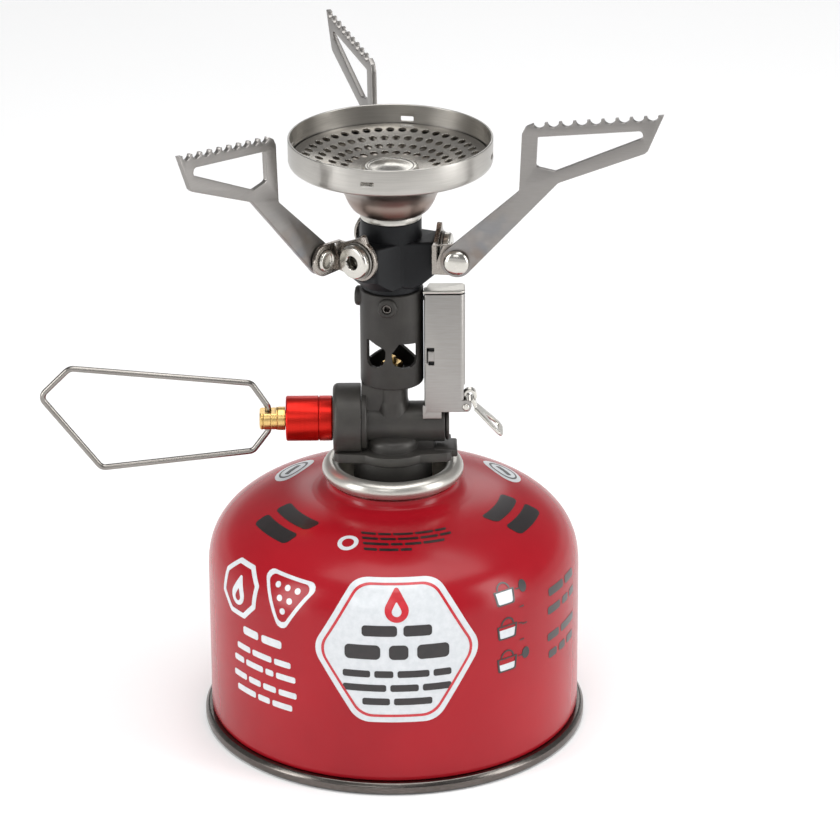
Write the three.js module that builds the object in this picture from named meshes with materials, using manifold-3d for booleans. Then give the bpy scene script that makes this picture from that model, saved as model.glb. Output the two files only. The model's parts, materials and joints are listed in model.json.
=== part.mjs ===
// Canister stove: a screw-on gas burner with three folding pot supports, standing on its fuel canister.
// Millimetres, +Z up. The origin is the centre of the canister's recessed base panel.
// The valve axis runs along X, with the control handle towards -X and the igniter on the +X side.
import * as THREE from 'three';
import { mergeVertices } from 'three/addons/utils/BufferGeometryUtils.js';
import ManifoldModule from 'manifold-3d';

const manifoldLibrary = await ManifoldModule();
manifoldLibrary.setup();
const { Manifold, Mesh: ManifoldMesh } = manifoldLibrary;

// ---------------------------------------------------------------- driving dimensions

const FIT = 0.1; // gap between touching fixed pieces
const CAN_SIDES = 32; // facets round the canister
const BURNER_SIDES = 30;
const SHEET = 0.5; // folded steel sheet of the igniter housing

// canister
const CAN_RADIUS = 43.45;
const CAN_WALL = 0.5;
const SEAM_RADIUS = 45;
const SEAM_FOOT_Z = -3;
const SEAM_TOP_Z = 0.7;
const SHOULDER_Z = 35.3; // where the straight wall turns into the dome
const DOME_RISE = 19.4;
const DOME_FLAT_RADIUS = 10;
const DOME_POWER = 2.54; // superellipse power of the dome's section
const CUP_CURL_RADIUS = 1.95;
const CUP_RADIUS = 16.5;
const CUP_TOP_Z = 61.7;
const CUP_FLOOR_Z = 51.6;
const THREAD_RADIUS = 5.55; // 7/16 inch canister thread, plain cylinder
const THREAD_TOP_Z = 60.5;

// stove body
const COLLAR_RADIUS = 9.1;
const FLANGE_BOTTOM_Z = 63.5;
const FLANGE_TOP_Z = 65.7;
const FLANGE_HALF_LENGTH = 13.6;
const FLANGE_HALF_WIDTH = 6.2;
const VALVE_Z = 72.2;
const BARREL_RADIUS = 4.75;
const BARREL_Z = 71.3;
const BARREL_END_X = 12.1;
const NECK_RADIUS = 3.6;
const CAP_RADIUS = 8.15;
const CAP_LEFT_X = -13.8;
const CAP_RIGHT_X = -7.3;

// control stem and handle
const NUT_RADIUS = 5.25;
const NUT_LEFT_X = -24.7;
const STEM_RADIUS = 2.75;
const STEM_END_X = -30.8;
const HANDLE_PIVOT_X = -28.8;
const HANDLE_WIRE_RADIUS = 0.6;

// mixer tube and head
const TUBE_RADIUS = 7.3;
const TUBE_BORE = 5.6;
const TUBE_BOTTOM_Z = 81.8;
const HEAD_BOTTOM_Z = 105;
const HEAD_TOP_Z = 121.9;
const HEAD_RADIUS = 7;
// air windows, milled right through the tube: outline across the azimuth, and height
const AIR_WINDOWS = [
  {
    azimuth: -125,
    outline: [
      [-2.1, 93.7], [-1.4, 93.8], [2.5, 92.1], [2.9, 91.4], [2.75, 89.5], [2.3, 88.3], [1.6, 87.6],
      [0.4, 87.15], [-1, 87.2], [-1.9, 87.9], [-2.15, 89],
    ],
  },
  {
    azimuth: -66,
    outline: [
      [-1.4, 93.3], [3.3, 92.7], [3.5, 92], [3.5, 89.3], [2.9, 87.8], [1.5, 87.05], [-0.5, 87.1],
      [-2.1, 87.75], [-2.9, 88.9], [-3, 91],
    ],
  },
];
const SET_SCREW_Z = 102.3;
const SET_SCREW_AZIMUTHS = { front: -97.7, left: 172.3, back: 82.3 };

// burner
const RIM_RADIUS = 23.24;
const RIM_TOP_Z = 141;
const RIM_WALL = 0.5;
const RIM_SLOT = { width: 3, bottom: 137, top: 138.2, azimuths: [-103, -9.9, 80.1, 170.1] };
const PLATE_THICKNESS = 0.5;
const PORT_ROWS = [
  { radius: 20.3, count: 44 },
  { radius: 17, count: 40 },
  { radius: 13.8, count: 34 },
  { radius: 10.8, count: 26 },
];
const PORT_RADIUS = 0.75;

// pot supports: rho is the distance from the burner's axis
const SUPPORT_AZIMUTHS = { right: -9.9, back: 110.1, left: 230.1 };
const PIVOT_Z = 114.6;
const BOSS_FACE = 10.35;
const BOSS_HALF_WIDTH = 4.2;
const BOSS_TOP_Z = 117.5;
const BRACKET_RADIUS = 4.9;
const RIVET_RHO = 16.3;
const ARM_INNER_T = -6.9; // inner face of the arm, measured across the arm's plane
const ARM_THICKNESS = 1.2;
const EAR_THICKNESS = 1.1;
const TOOTH_COUNT = 10;
const TOOTH_DEPTH = 1.1;

// igniter
const BOX = { left: 7.4, right: 16.8, front: -4.75, back: 0.45, bottom: 75.4, top: 104.4 };
const TRIGGER_PIVOT = { x: 16.96, z: 76.6 };
const BOX_MIDDLE_Y = (BOX.front + BOX.back) / 2;

// ---------------------------------------------------------------- materials

const paint = (color, roughness, metalness) =>
  new THREE.MeshStandardMaterial({ color, roughness, metalness });
const redEnamel = () => paint(0xb8202c, 0.3, 0.1);
const bareSteel = () => paint(0xb9b7b1, 0.35, 0.9);
const greySteel = () => paint(0x8d8b86, 0.45, 0.9);
const blackAnodised = () => paint(0x3a3a3b, 0.5, 0.6);
const headBlack = () => paint(0x2a2b2f, 0.45, 0.6);
const redAnodised = () => paint(0xd11a10, 0.25, 0.8);
const brass = () => paint(0xc79a4b, 0.3, 0.9);
const rubber = () => paint(0x1b1b1b, 0.8, 0);
const plastic = () => paint(0x222222, 0.6, 0);
const ceramic = () => paint(0xe8e4da, 0.5, 0);

// ---------------------------------------------------------------- geometry helpers

// Welds equal corners, drops collapsed triangles and makes the faces point outwards.
function tidy(geometry) {
  const bare = geometry.index ? geometry.toNonIndexed() : geometry.clone();
  bare.deleteAttribute('normal');
  bare.deleteAttribute('uv');
  const welded = mergeVertices(bare, 1e-4);
  const index = welded.index.array;
  const at = welded.attributes.position;
  const corner = (i) => new THREE.Vector3().fromBufferAttribute(at, i);
  const kept = [];
  let volume = 0;
  for (let i = 0; i < index.length; i += 3) {
    const [a, b, c] = [index[i], index[i + 1], index[i + 2]];
    if (a === b || b === c || c === a) continue;
    kept.push([a, b, c]);
    volume += corner(a).dot(corner(b).cross(corner(c)));
  }
  welded.setIndex(kept.flatMap(([a, b, c]) => (volume < 0 ? [a, c, b] : [a, b, c])));
  return welded;
}

function toManifold(geometry) {
  const clean = tidy(geometry);
  const mesh = new ManifoldMesh({
    numProp: 3,
    vertProperties: new Float32Array(clean.attributes.position.array),
    triVerts: new Uint32Array(clean.index.array),
  });
  return new Manifold(mesh);
}

function fromManifold(solid) {
  const mesh = solid.getMesh();
  const geometry = new THREE.BufferGeometry();
  geometry.setAttribute('position', new THREE.BufferAttribute(new Float32Array(mesh.vertProperties), 3));
  geometry.setIndex(new THREE.BufferAttribute(new Uint32Array(mesh.triVerts), 1));
  return geometry;
}

const join = (...parts) => fromManifold(Manifold.union(parts.map(toManifold)));
const cut = (part, ...tools) => {
  const solid = toManifold(part);
  return fromManifold(solid.subtract(Manifold.union(tools.map(toManifold))));
};

// A body of revolution about Z from a closed outline of [radius, z] points.
function turned(outline, segments = 18) {
  const closed = outline.map(([r, z]) => new THREE.Vector2(r, z));
  const [first, last] = [closed[0], closed[closed.length - 1]];
  if (first.x > 0 || last.x > 0) closed.push(first.clone());
  return new THREE.LatheGeometry(closed, segments).rotateX(Math.PI / 2);
}

// The same about the X axis, from [radius, x] points, at the valve's height unless told otherwise.
const turnedX = (outline, segments = 18, z = VALVE_Z) =>
  turned(outline, segments).rotateY(Math.PI / 2).translate(0, 0, z);

const rod = (radius, low, high, segments = 16) =>
  turned([[0, low], [radius, low], [radius, high], [0, high]], segments);

const rodX = (radius, low, high, z = VALVE_Z, segments = 16) =>
  turnedX([[0, low], [radius, low], [radius, high], [0, high]], segments, z);

// A rod along Y through (x, z).
const rodY = (radius, low, high, x, z, segments = 12) =>
  rod(radius, low, high, segments).rotateX(-Math.PI / 2).translate(x, 0, z);

const ring = (inner, outer, low, high, segments = 24) =>
  turned([[inner, low], [outer, low], [outer, high], [inner, high]], segments);

const block = (x0, x1, y0, y1, z0, z1) =>
  new THREE.BoxGeometry(x1 - x0, y1 - y0, z1 - z0).translate((x0 + x1) / 2, (y0 + y1) / 2, (z0 + z1) / 2);

const outlineOf = (points) => new THREE.Shape(points.map(([x, y]) => new THREE.Vector2(x, y)));

// Points along an arc, angles in degrees.
function arc(x, y, radius, from, to, steps) {
  return Array.from({ length: steps + 1 }, (_, i) => {
    const angle = THREE.MathUtils.degToRad(from + ((to - from) * i) / steps);
    return [x + radius * Math.cos(angle), y + radius * Math.sin(angle)];
  });
}

// A flat piece whose outline lies in the X-Z plane, between two values of Y.
function plateXZ(shape, y0, y1) {
  const options = { depth: y1 - y0, bevelEnabled: false, curveSegments: 8 };
  return new THREE.ExtrudeGeometry(shape, options).rotateX(Math.PI / 2).translate(0, y1, 0);
}

// A flat piece whose outline lies in the Y-Z plane, between two values of X.
function plateYZ(shape, x0, x1) {
  const options = { depth: x1 - x0, bevelEnabled: false, curveSegments: 8 };
  const geometry = new THREE.ExtrudeGeometry(shape, options);
  return geometry.rotateX(Math.PI / 2).rotateZ(Math.PI / 2).translate(x0, 0, 0);
}

// A flat piece whose outline lies in the X-Y plane, between two heights.
function plateXY(shape, z0, z1) {
  const options = { depth: z1 - z0, bevelEnabled: false, curveSegments: 8 };
  return new THREE.ExtrudeGeometry(shape, options).translate(0, 0, z0);
}

// A round wire or tube along a curve.
function wire(curve, radius, steps, sides = 8) {
  const section = outlineOf(arc(0, 0, radius, 0, 360 - 360 / sides, sides - 1));
  return new THREE.ExtrudeGeometry(section, { steps, extrudePath: curve, bevelEnabled: false });
}

class Helix extends THREE.Curve {
  constructor(radius, low, high, turns) {
    super();
    Object.assign(this, { radius, low, high, turns });
  }

  getPoint(t) {
    const angle = 2 * Math.PI * this.turns * t;
    const height = this.low + (this.high - this.low) * t;
    return new THREE.Vector3(this.radius * Math.cos(angle), this.radius * Math.sin(angle), height);
  }
}

// A compression spring along Z: its wire stays between low and high.
function coil(radius, wireRadius, low, high, turns) {
  const path = new Helix(radius, low + wireRadius + FIT, high - wireRadius - FIT, turns);
  return wire(path, wireRadius, Math.round(turns * 9), 5);
}

const stove = new THREE.Group();

function add(name, geometry, material, parent = stove) {
  const mesh = new THREE.Mesh(tidy(geometry), material);
  mesh.name = name;
  parent.add(mesh);
  return mesh;
}

// ---------------------------------------------------------------- fuel canister

// Height of the dome's outer skin at a radius.
function domeZ(radius) {
  const across = Math.max(radius - DOME_FLAT_RADIUS, 0) / (CAN_RADIUS - DOME_FLAT_RADIUS);
  return SHOULDER_Z + DOME_RISE * (1 - across ** DOME_POWER) ** (1 / DOME_POWER);
}

// Dome and wall, with a short neck standing up at the mouth to carry the cup.
function canisterShell() {
  const steps = 7;
  const mouth = CUP_RADIUS - 1.6;
  // even steps of angle keep the corner round
  const skin = (offset) => Array.from({ length: steps + 1 }, (_, i) => {
    const angle = (Math.PI / 2) * (i / (steps + 0.55));
    const radius = DOME_FLAT_RADIUS + (CAN_RADIUS - DOME_FLAT_RADIUS) * Math.cos(angle) ** (2 / DOME_POWER);
    const clipped = Math.max(radius, mouth);
    return [clipped - offset * Math.cos(angle), domeZ(clipped) - offset * Math.sin(angle)];
  });
  const foot = SEAM_TOP_Z + 0.35;
  const outer = skin(0);
  const inner = skin(CAN_WALL).reverse();
  const neckTop = CUP_TOP_Z - 2 * CUP_CURL_RADIUS - 0.2;
  const neck = [[mouth - 0.2, neckTop], [mouth - 1.25, neckTop], [mouth - 1.25, domeZ(mouth) - CAN_WALL]];
  return turned([[CAN_RADIUS - CAN_WALL, foot], [CAN_RADIUS, foot], ...outer, ...neck, ...inner], CAN_SIDES);
}

// Recessed flat panel and the double seam that the canister stands on.
function canisterBase() {
  const footInner = SEAM_RADIUS - 2.6;
  return turned([
    [0, 0], [36, 0], [37.2, -0.9], [39.6, -0.9], [41, 0], [41.6, -0.6],
    [footInner, SEAM_FOOT_Z + 0.5], [footInner + 0.5, SEAM_FOOT_Z], [SEAM_RADIUS - 0.7, SEAM_FOOT_Z],
    [SEAM_RADIUS, SEAM_FOOT_Z + 0.8], [SEAM_RADIUS, 0.1], [SEAM_RADIUS - 0.6, SEAM_TOP_Z],
    [CAN_RADIUS - 1, SEAM_TOP_Z], [41, 0.6], [39.6, -0.3], [37.2, -0.3], [36, 0.6], [0, 0.6],
  ], CAN_SIDES);
}

// Pressed cup with a rolled curl outside and the threaded valve boss in its middle.
function valveCup() {
  const curlR = CUP_RADIUS - CUP_CURL_RADIUS;
  const curlZ = CUP_TOP_Z - CUP_CURL_RADIUS;
  const wall = curlR - CUP_CURL_RADIUS;
  const floorUnder = CUP_FLOOR_Z - 0.7;
  return turned([
    [3.4, floorUnder], [wall + 0.2, floorUnder], [wall + 0.7, floorUnder + 0.6], [wall + 0.7, curlZ - 1.55],
    ...arc(curlR, curlZ, CUP_CURL_RADIUS, -115, 180, 9),
    [wall, CUP_FLOOR_Z + 0.6], [wall - 0.5, CUP_FLOOR_Z], [THREAD_RADIUS + 0.3, CUP_FLOOR_Z],
    [THREAD_RADIUS, CUP_FLOOR_Z + 0.3], [THREAD_RADIUS, THREAD_TOP_Z - 0.4],
    [THREAD_RADIUS - 0.4, THREAD_TOP_Z], [2.2, THREAD_TOP_Z], [2.2, 58.1], [3.4, 58.1],
  ], 28);
}

add('canister_shell', canisterShell(), redEnamel());
add('canister_base', canisterBase(), greySteel());
add('valve_cup', valveCup(), bareSteel());
add('canister_valve_housing', turned([
  [1.2, 43], [4.4, 43], [4.4, 50.8], [3.3, 50.8], [3.3, 57], [2.6, 57], [2.6, 45.3], [1.2, 45.3],
]), plastic());
add('canister_valve_gasket', ring(1.65, 3.3, 57.1, 58), rubber());
add('canister_valve_stem', turned([
  [0, 52.4], [1, 52.4], [1, 55.4], [2.3, 55.4], [2.3, 57], [1.5, 57], [1.5, 59.1], [0, 59.1],
], 20), brass());
add('canister_valve_spring', coil(1.8, 0.3, 45.4, 55.3, 6), bareSteel());

// ---------------------------------------------------------------- valve body and regulator

// Flange plate with straight ends and a middle that follows the collar, seen from above.
function flangeOutline() {
  const bulge = COLLAR_RADIUS + 0.35;
  const half = FLANGE_HALF_WIDTH;
  const reach = THREE.MathUtils.radToDeg(Math.acos(half / bulge)) * 0.86;
  const corner = 1;
  const right = FLANGE_HALF_LENGTH;
  return outlineOf([
    [right - corner, -half], [right, -half + corner], [right, half - corner], [right - corner, half],
    ...arc(0, 0, bulge, 90 - reach, 90 + reach, 10),
    [corner - right, half], [-right, half - corner], [-right, corner - half], [corner - right, -half],
    ...arc(0, 0, bulge, -90 - reach, -90 + reach, 10),
  ]);
}

function valveBody() {
  const solid = join(
    plateXY(flangeOutline(), FLANGE_BOTTOM_Z, FLANGE_TOP_Z),
    block(9.5, 15, -4.5, 2.8, FLANGE_BOTTOM_Z + 0.5, FLANGE_TOP_Z + 0.25),
    rodX(BARREL_RADIUS, -7.4, BARREL_END_X, BARREL_Z, 24),
    turnedX([[0, -7.6], [7.4, -7.6], [7.4, -6.6], [7, -6.2], [0, -6.2]], 24),
    block(-6.8, 9.5, -2.6, 2.6, FLANGE_TOP_Z - 0.5, BARREL_Z),
    block(-6.5, 0, -2.8, 2.8, BARREL_Z, 80.5),
    turned([[0, 64], [6, 64], [6, 67.2], [4.9, 68.4], [0, 69]], 20).translate(0, -1, 0),
    turned([
      [0, 72], [4.3, 72], [4.3, 76.2], [NECK_RADIUS, 77.4], [NECK_RADIUS, 81.7],
      [2.8, 81.7], [2.8, 85], [0, 85],
    ], 20),
  );
  return cut(
    solid,
    rod(1.65, 63, 71),
    rod(1.2, 73, 86),
    rodX(1, -8, 2, VALVE_Z),
    rodX(2.5, 0, 13, VALVE_Z),
    rodX(CAP_RADIUS + 0.15, -16, CAP_RIGHT_X + 0.05, VALVE_Z, 24),
  );
}

// The collar screws over the canister's threaded boss.
function connectorCollar() {
  return turned([
    [5.8, 53], [COLLAR_RADIUS - 0.5, 53], [COLLAR_RADIUS, 53.5], [COLLAR_RADIUS, FLANGE_BOTTOM_Z - FIT],
    [1.65, FLANGE_BOTTOM_Z - FIT], [1.65, 62.3], [5.8, 62.3],
  ], 24);
}

add('valve_body', valveBody(), blackAnodised());
add('connector_collar', connectorCollar(), blackAnodised());
add('connector_o_ring', new THREE.TorusGeometry(4.4, 0.8, 6, 20).translate(0, 0, 61.4), rubber());
add('depressor_pin', turned([
  [0, 59.4], [1, 59.4], [1, 62.4], [1.55, 62.4], [1.55, 65.5], [0, 65.5],
], 16), brass());
add('barrel_plug', join(
  turnedX([[0, 9.6], [2.4, 9.6], [2.4, 12.6], [0, 12.6]]),
  turnedX([
    [0, 12.2 + FIT], [BARREL_RADIUS - 0.35, 12.2 + FIT], [BARREL_RADIUS - 0.35, 12.9],
    [BARREL_RADIUS - 0.6, 13.1], [0, 13.1],
  ], 24, BARREL_Z),
), blackAnodised());
add('regulator_cap', turnedX([
  [3.1, CAP_LEFT_X], [CAP_RADIUS - 1.1, CAP_LEFT_X], [CAP_RADIUS, CAP_LEFT_X + 1.2],
  [CAP_RADIUS, CAP_RIGHT_X], [6.9, CAP_RIGHT_X], [6.9, CAP_LEFT_X + 1.4], [3.1, CAP_LEFT_X + 1.4],
], 24), blackAnodised());
add('regulator_diaphragm', turnedX([[0, -8.3], [6.8, -8.3], [6.8, -7.75], [0, -7.75]]), rubber());
const alongValve = (spring) => spring.rotateY(Math.PI / 2).translate(0, 0, VALVE_Z);
add('regulator_spring', alongValve(coil(3.3, 0.35, -11.5, -8.4, 3)), bareSteel());
add('spring_seat', turnedX([[0, -12.25], [4.4, -12.25], [4.4, -11.6], [0, -11.6]]), brass());
add('regulator_pintle', turnedX([
  [0, -7.6], [0.8, -7.6], [0.8, 2.1], [2.1, 2.5], [2.1, 4], [0, 4],
], 16), brass());
add('pintle_spring', alongValve(coil(1.7, 0.25, 4.1, 9.5, 4)), bareSteel());

// ---------------------------------------------------------------- control stem and handle

add('gland_nut', turnedX([
  [2, -12.6], [3, -12.6], [3, CAP_LEFT_X - FIT], [NUT_RADIUS - 0.3, CAP_LEFT_X - FIT],
  [NUT_RADIUS, CAP_LEFT_X - 0.4], [NUT_RADIUS, -16.7], [NUT_RADIUS - 0.4, -16.8], [NUT_RADIUS - 0.4, -17.3],
  [NUT_RADIUS, -17.4], [NUT_RADIUS, NUT_LEFT_X + 0.5], [NUT_RADIUS - 0.5, NUT_LEFT_X], [3, NUT_LEFT_X],
  [3, -22.8], [2, -22.8],
], 20), redAnodised());

function controlStem() {
  const shaft = turnedX([
    [0, STEM_END_X], [STEM_RADIUS - 0.4, STEM_END_X], [STEM_RADIUS, STEM_END_X + 0.4],
    [STEM_RADIUS, NUT_LEFT_X - 0.2], [1.9, NUT_LEFT_X - 0.2], [1.9, -20.2], [1.1, -20.2],
    [1.1, -18.9], [1.9, -18.9], [1.9, -13], [1.2, -13], [1.2, -12.35], [0, -12.35],
  ], 20);
  const flatHalf = 1.95;
  const flatEnd = -26.9;
  const far = STEM_END_X - 1;
  return cut(
    shaft,
    block(far, flatEnd, -4, 4, VALVE_Z + flatHalf, VALVE_Z + 5),
    block(far, flatEnd, -4, 4, VALVE_Z - 5, VALVE_Z - flatHalf),
    rod(HANDLE_WIRE_RADIUS + 0.15, VALVE_Z - 4, VALVE_Z + 4, 12).translate(HANDLE_PIVOT_X, 0, 0),
  );
}
add('control_stem', controlStem(), brass());
add('stem_o_ring', new THREE.TorusGeometry(1.55, 0.37, 6, 16).rotateY(Math.PI / 2)
  .translate(-19.55, 0, VALVE_Z), rubber());

// One bent wire: a five-sided loop whose two ends hook into the stem's cross hole from above and below.
function handleLoop() {
  const corners = [
    [HANDLE_PIVOT_X, 72.5], [HANDLE_PIVOT_X, 75.2], [-32.6, 81.1], [-74.5, 85.1], [-81.5, 78.1],
    [-67.8, 60.1], [-32.5, 64.1], [HANDLE_PIVOT_X, 69.2], [HANDLE_PIVOT_X, 71.9],
  ].map(([x, z]) => new THREE.Vector3(x, 0, z));
  const bends = [0, 1.1, 2, 1.7, 1.7, 1.7, 2, 1.1, 0];
  const path = new THREE.CurvePath();
  let from = corners[0];
  for (let i = 1; i < corners.length - 1; i += 1) {
    const corner = corners[i];
    const before = corner.clone().sub(corners[i - 1]).setLength(bends[i]);
    const after = corners[i + 1].clone().sub(corner).setLength(bends[i]);
    const entry = corner.clone().sub(before);
    const exit = corner.clone().add(after);
    path.add(new THREE.LineCurve3(from, entry));
    path.add(new THREE.QuadraticBezierCurve3(entry, corner, exit));
    from = exit;
  }
  path.add(new THREE.LineCurve3(from, corners[corners.length - 1]));
  return wire(path, HANDLE_WIRE_RADIUS, 60, 6);
}
add('wire_handle', handleLoop(), bareSteel());

// ---------------------------------------------------------------- jet, mixer tube and burner head

add('fuel_jet', join(
  rod(1.1, 82.4, 85.3, 12),
  rod(2.5, 85.1, 87.6, 6),
  turned([[0, 87.4], [1.1, 87.4], [0.8, 88.8], [0, 88.8]], 12),
), brass());

const airWindow = ({ azimuth, outline }) =>
  plateYZ(outlineOf(outline), -10, 10).rotateZ(THREE.MathUtils.degToRad(azimuth));

// A cylinder pointing away from the axis at an azimuth, between two distances from it.
const spoke = (radius, inner, outer, z, azimuth, segments = 16) =>
  rodX(radius, inner, outer, z, segments).rotateZ(THREE.MathUtils.degToRad(azimuth));

const WIRE_AZIMUTH = -13;
const WIRE_Z = 102.6;

function mixerTube() {
  const shell = turned([
    [2.95, TUBE_BOTTOM_Z], [TUBE_RADIUS - 0.4, TUBE_BOTTOM_Z], [TUBE_RADIUS, TUBE_BOTTOM_Z + 0.4],
    [TUBE_RADIUS, HEAD_BOTTOM_Z - FIT], [TUBE_BORE, HEAD_BOTTOM_Z - FIT], [TUBE_BORE, 84.2], [2.95, 84.2],
  ], 24);
  const azimuths = Object.values(SET_SCREW_AZIMUTHS);
  const lugs = azimuths.map((azimuth) => spoke(2.3, 6.4, 8.4, SET_SCREW_Z, azimuth));
  const holes = azimuths.map((azimuth) => spoke(1.05, 5, 9, SET_SCREW_Z, azimuth, 12));
  const leadHole = spoke(0.9, 4, 9, WIRE_Z, WIRE_AZIMUTH, 10);
  return cut(join(shell, ...lugs), ...AIR_WINDOWS.map(airWindow), ...holes, leadHole);
}

function hexSocket(acrossCorners, depth, face) {
  return rodX(acrossCorners / 2, face - depth, face + 1, 0, 6);
}

function setScrew(azimuth) {
  const screw = cut(rodX(0.95, 5.6, 8.1, 0, 12), hexSocket(1.1, 1.2, 8.1));
  return screw.translate(0, 0, SET_SCREW_Z).rotateZ(THREE.MathUtils.degToRad(azimuth));
}

function headCasting() {
  const barrel = rod(HEAD_RADIUS, HEAD_BOTTOM_Z + 0.4, HEAD_TOP_Z, 24);
  const foot = turned([
    [0, HEAD_BOTTOM_Z], [HEAD_RADIUS - 0.5, HEAD_BOTTOM_Z], [HEAD_RADIUS, HEAD_BOTTOM_Z + 0.5],
    [0, HEAD_BOTTOM_Z + 0.6],
  ], 24);
  const spigot = rod(TUBE_BORE - FIT, 98.6, HEAD_BOTTOM_Z + 0.2, 24);
  const bossShape = outlineOf([
    [0, BOSS_TOP_Z], [BOSS_FACE - 0.4, BOSS_TOP_Z], [BOSS_FACE, BOSS_TOP_Z - 0.4], [BOSS_FACE, 106.6],
    [HEAD_RADIUS, HEAD_BOTTOM_Z + 0.3], [0, HEAD_BOTTOM_Z + 0.3],
  ]);
  // seen from above, the sides of a boss run on to the barrel without a corner
  const flank = [[BOSS_FACE - 0.4, BOSS_HALF_WIDTH + 0.1], [2, HEAD_RADIUS - 0.35]];
  const cheeks = outlineOf([
    [BOSS_FACE, 0.4 - BOSS_HALF_WIDTH], [BOSS_FACE, BOSS_HALF_WIDTH - 0.4], ...flank,
    ...flank.map(([x, y]) => [x, -y]).reverse(),
  ]);
  const around = (geometry, azimuth) => geometry.rotateZ(THREE.MathUtils.degToRad(azimuth));
  const azimuths = Object.values(SUPPORT_AZIMUTHS);
  const boss = () => plateXZ(bossShape, -BOSS_HALF_WIDTH, BOSS_HALF_WIDTH);
  const bosses = azimuths.flatMap((azimuth) => [
    around(boss(), azimuth),
    around(plateXY(cheeks, 106.6, BOSS_TOP_Z), azimuth),
  ]);
  const taps = azimuths.map((azimuth) => spoke(1.55, 5.2, 12, PIVOT_Z, azimuth, 12));
  return cut(
    join(barrel, foot, spigot, ...bosses),
    rod(4.4, 98, 116.2, 20),
    rod(5.05, 116, 123, 20),
    ...taps,
    spoke(0.9, 3, 9, WIRE_Z, WIRE_AZIMUTH, 10),
  );
}

add('mixer_tube', mixerTube(), blackAnodised());
for (const [side, azimuth] of Object.entries(SET_SCREW_AZIMUTHS)) {
  add(`${side}_set_screw`, setScrew(azimuth), greySteel());
}
add('head_casting', headCasting(), headBlack());
add('throat_ring', ring(5.3, 7.1, HEAD_TOP_Z + 0.05, 123.4, 24), bareSteel());

function burnerBell() {
  const outer = [
    [4.85, 116.5], [4.85, 123.5], [7.3, 123.5], [8.3, 123.9], [9.5, 125.2], [10.9, 128.3],
    [12.6, 130.4], [15.5, 132.3], [19.5, 133.9], [21.3, 134.8], [21.3, 135.4],
  ];
  const inner = [
    [20.9, 135.4], [19.3, 134.4], [15.2, 132.8], [12.2, 130.8], [10.4, 128.5], [8.95, 125.5],
    [8, 124.4], [7.2, 124], [4.5, 124], [4.5, 116.5],
  ];
  return turned([...outer, ...inner], BURNER_SIDES);
}

// A band with a rounded foot that turns in under the plate, pierced by four short slots.
function burnerRim() {
  const inner = RIM_RADIUS - RIM_WALL;
  const band = turned([
    [21.4, 134.4], [22.3, 134.6], [22.95, 135.1], [RIM_RADIUS, 135.85], [RIM_RADIUS, RIM_TOP_Z - 0.15],
    [RIM_RADIUS - 0.15, RIM_TOP_Z], [inner + 0.1, RIM_TOP_Z], [inner, RIM_TOP_Z - 0.1], [inner, 136.3],
    [22.5, 135.85], [22.2, 135.75], [21.4, 135.65],
  ], BURNER_SIDES);
  const { width, bottom, top } = RIM_SLOT;
  const slots = RIM_SLOT.azimuths.map((azimuth) =>
    block(RIM_RADIUS - 3, RIM_RADIUS + 3, -width / 2, width / 2, bottom, top)
      .rotateZ(THREE.MathUtils.degToRad(azimuth)));
  return cut(band, ...slots);
}

// A dished plate: four rings of gas ports round a central opening.
function burnerPlate() {
  const upper = [
    [5.6, 133.2], [8, 133.2], [10.8, 133.5], [13.8, 134.3], [17, 135.3], [20.3, 136.3], [22.4, 136.5],
  ];
  const lower = upper.map(([radius, z]) => [radius, z - PLATE_THICKNESS]);
  const plate = turned([...lower, ...upper.reverse()], BURNER_SIDES);
  const ports = PORT_ROWS.flatMap(({ radius, count }) => Array.from({ length: count }, (_, i) =>
    rod(PORT_RADIUS, 131, 138, 4).translate(radius, 0, 0).rotateZ((2 * Math.PI * i) / count)));
  return cut(plate, ...ports);
}

add('burner_bell', burnerBell(), greySteel());
add('burner_rim', burnerRim(), bareSteel());
add('burner_plate', burnerPlate(), bareSteel());
add('burner_cap', turned([
  [0, 133.8], [5.2, 133.7], [6.1, 133.3], [6.35, 133.3], [6.3, 133.9], [5.6, 134.2], [4.8, 134.2], [0, 134.5],
], 24), bareSteel());
add('electrode_insulator', ring(0.75, 1.6, 124.2, 132, 12), ceramic());
add('electrode', rod(0.6, 124.6, 133.2, 10), bareSteel());

// ---------------------------------------------------------------- pot supports

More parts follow.
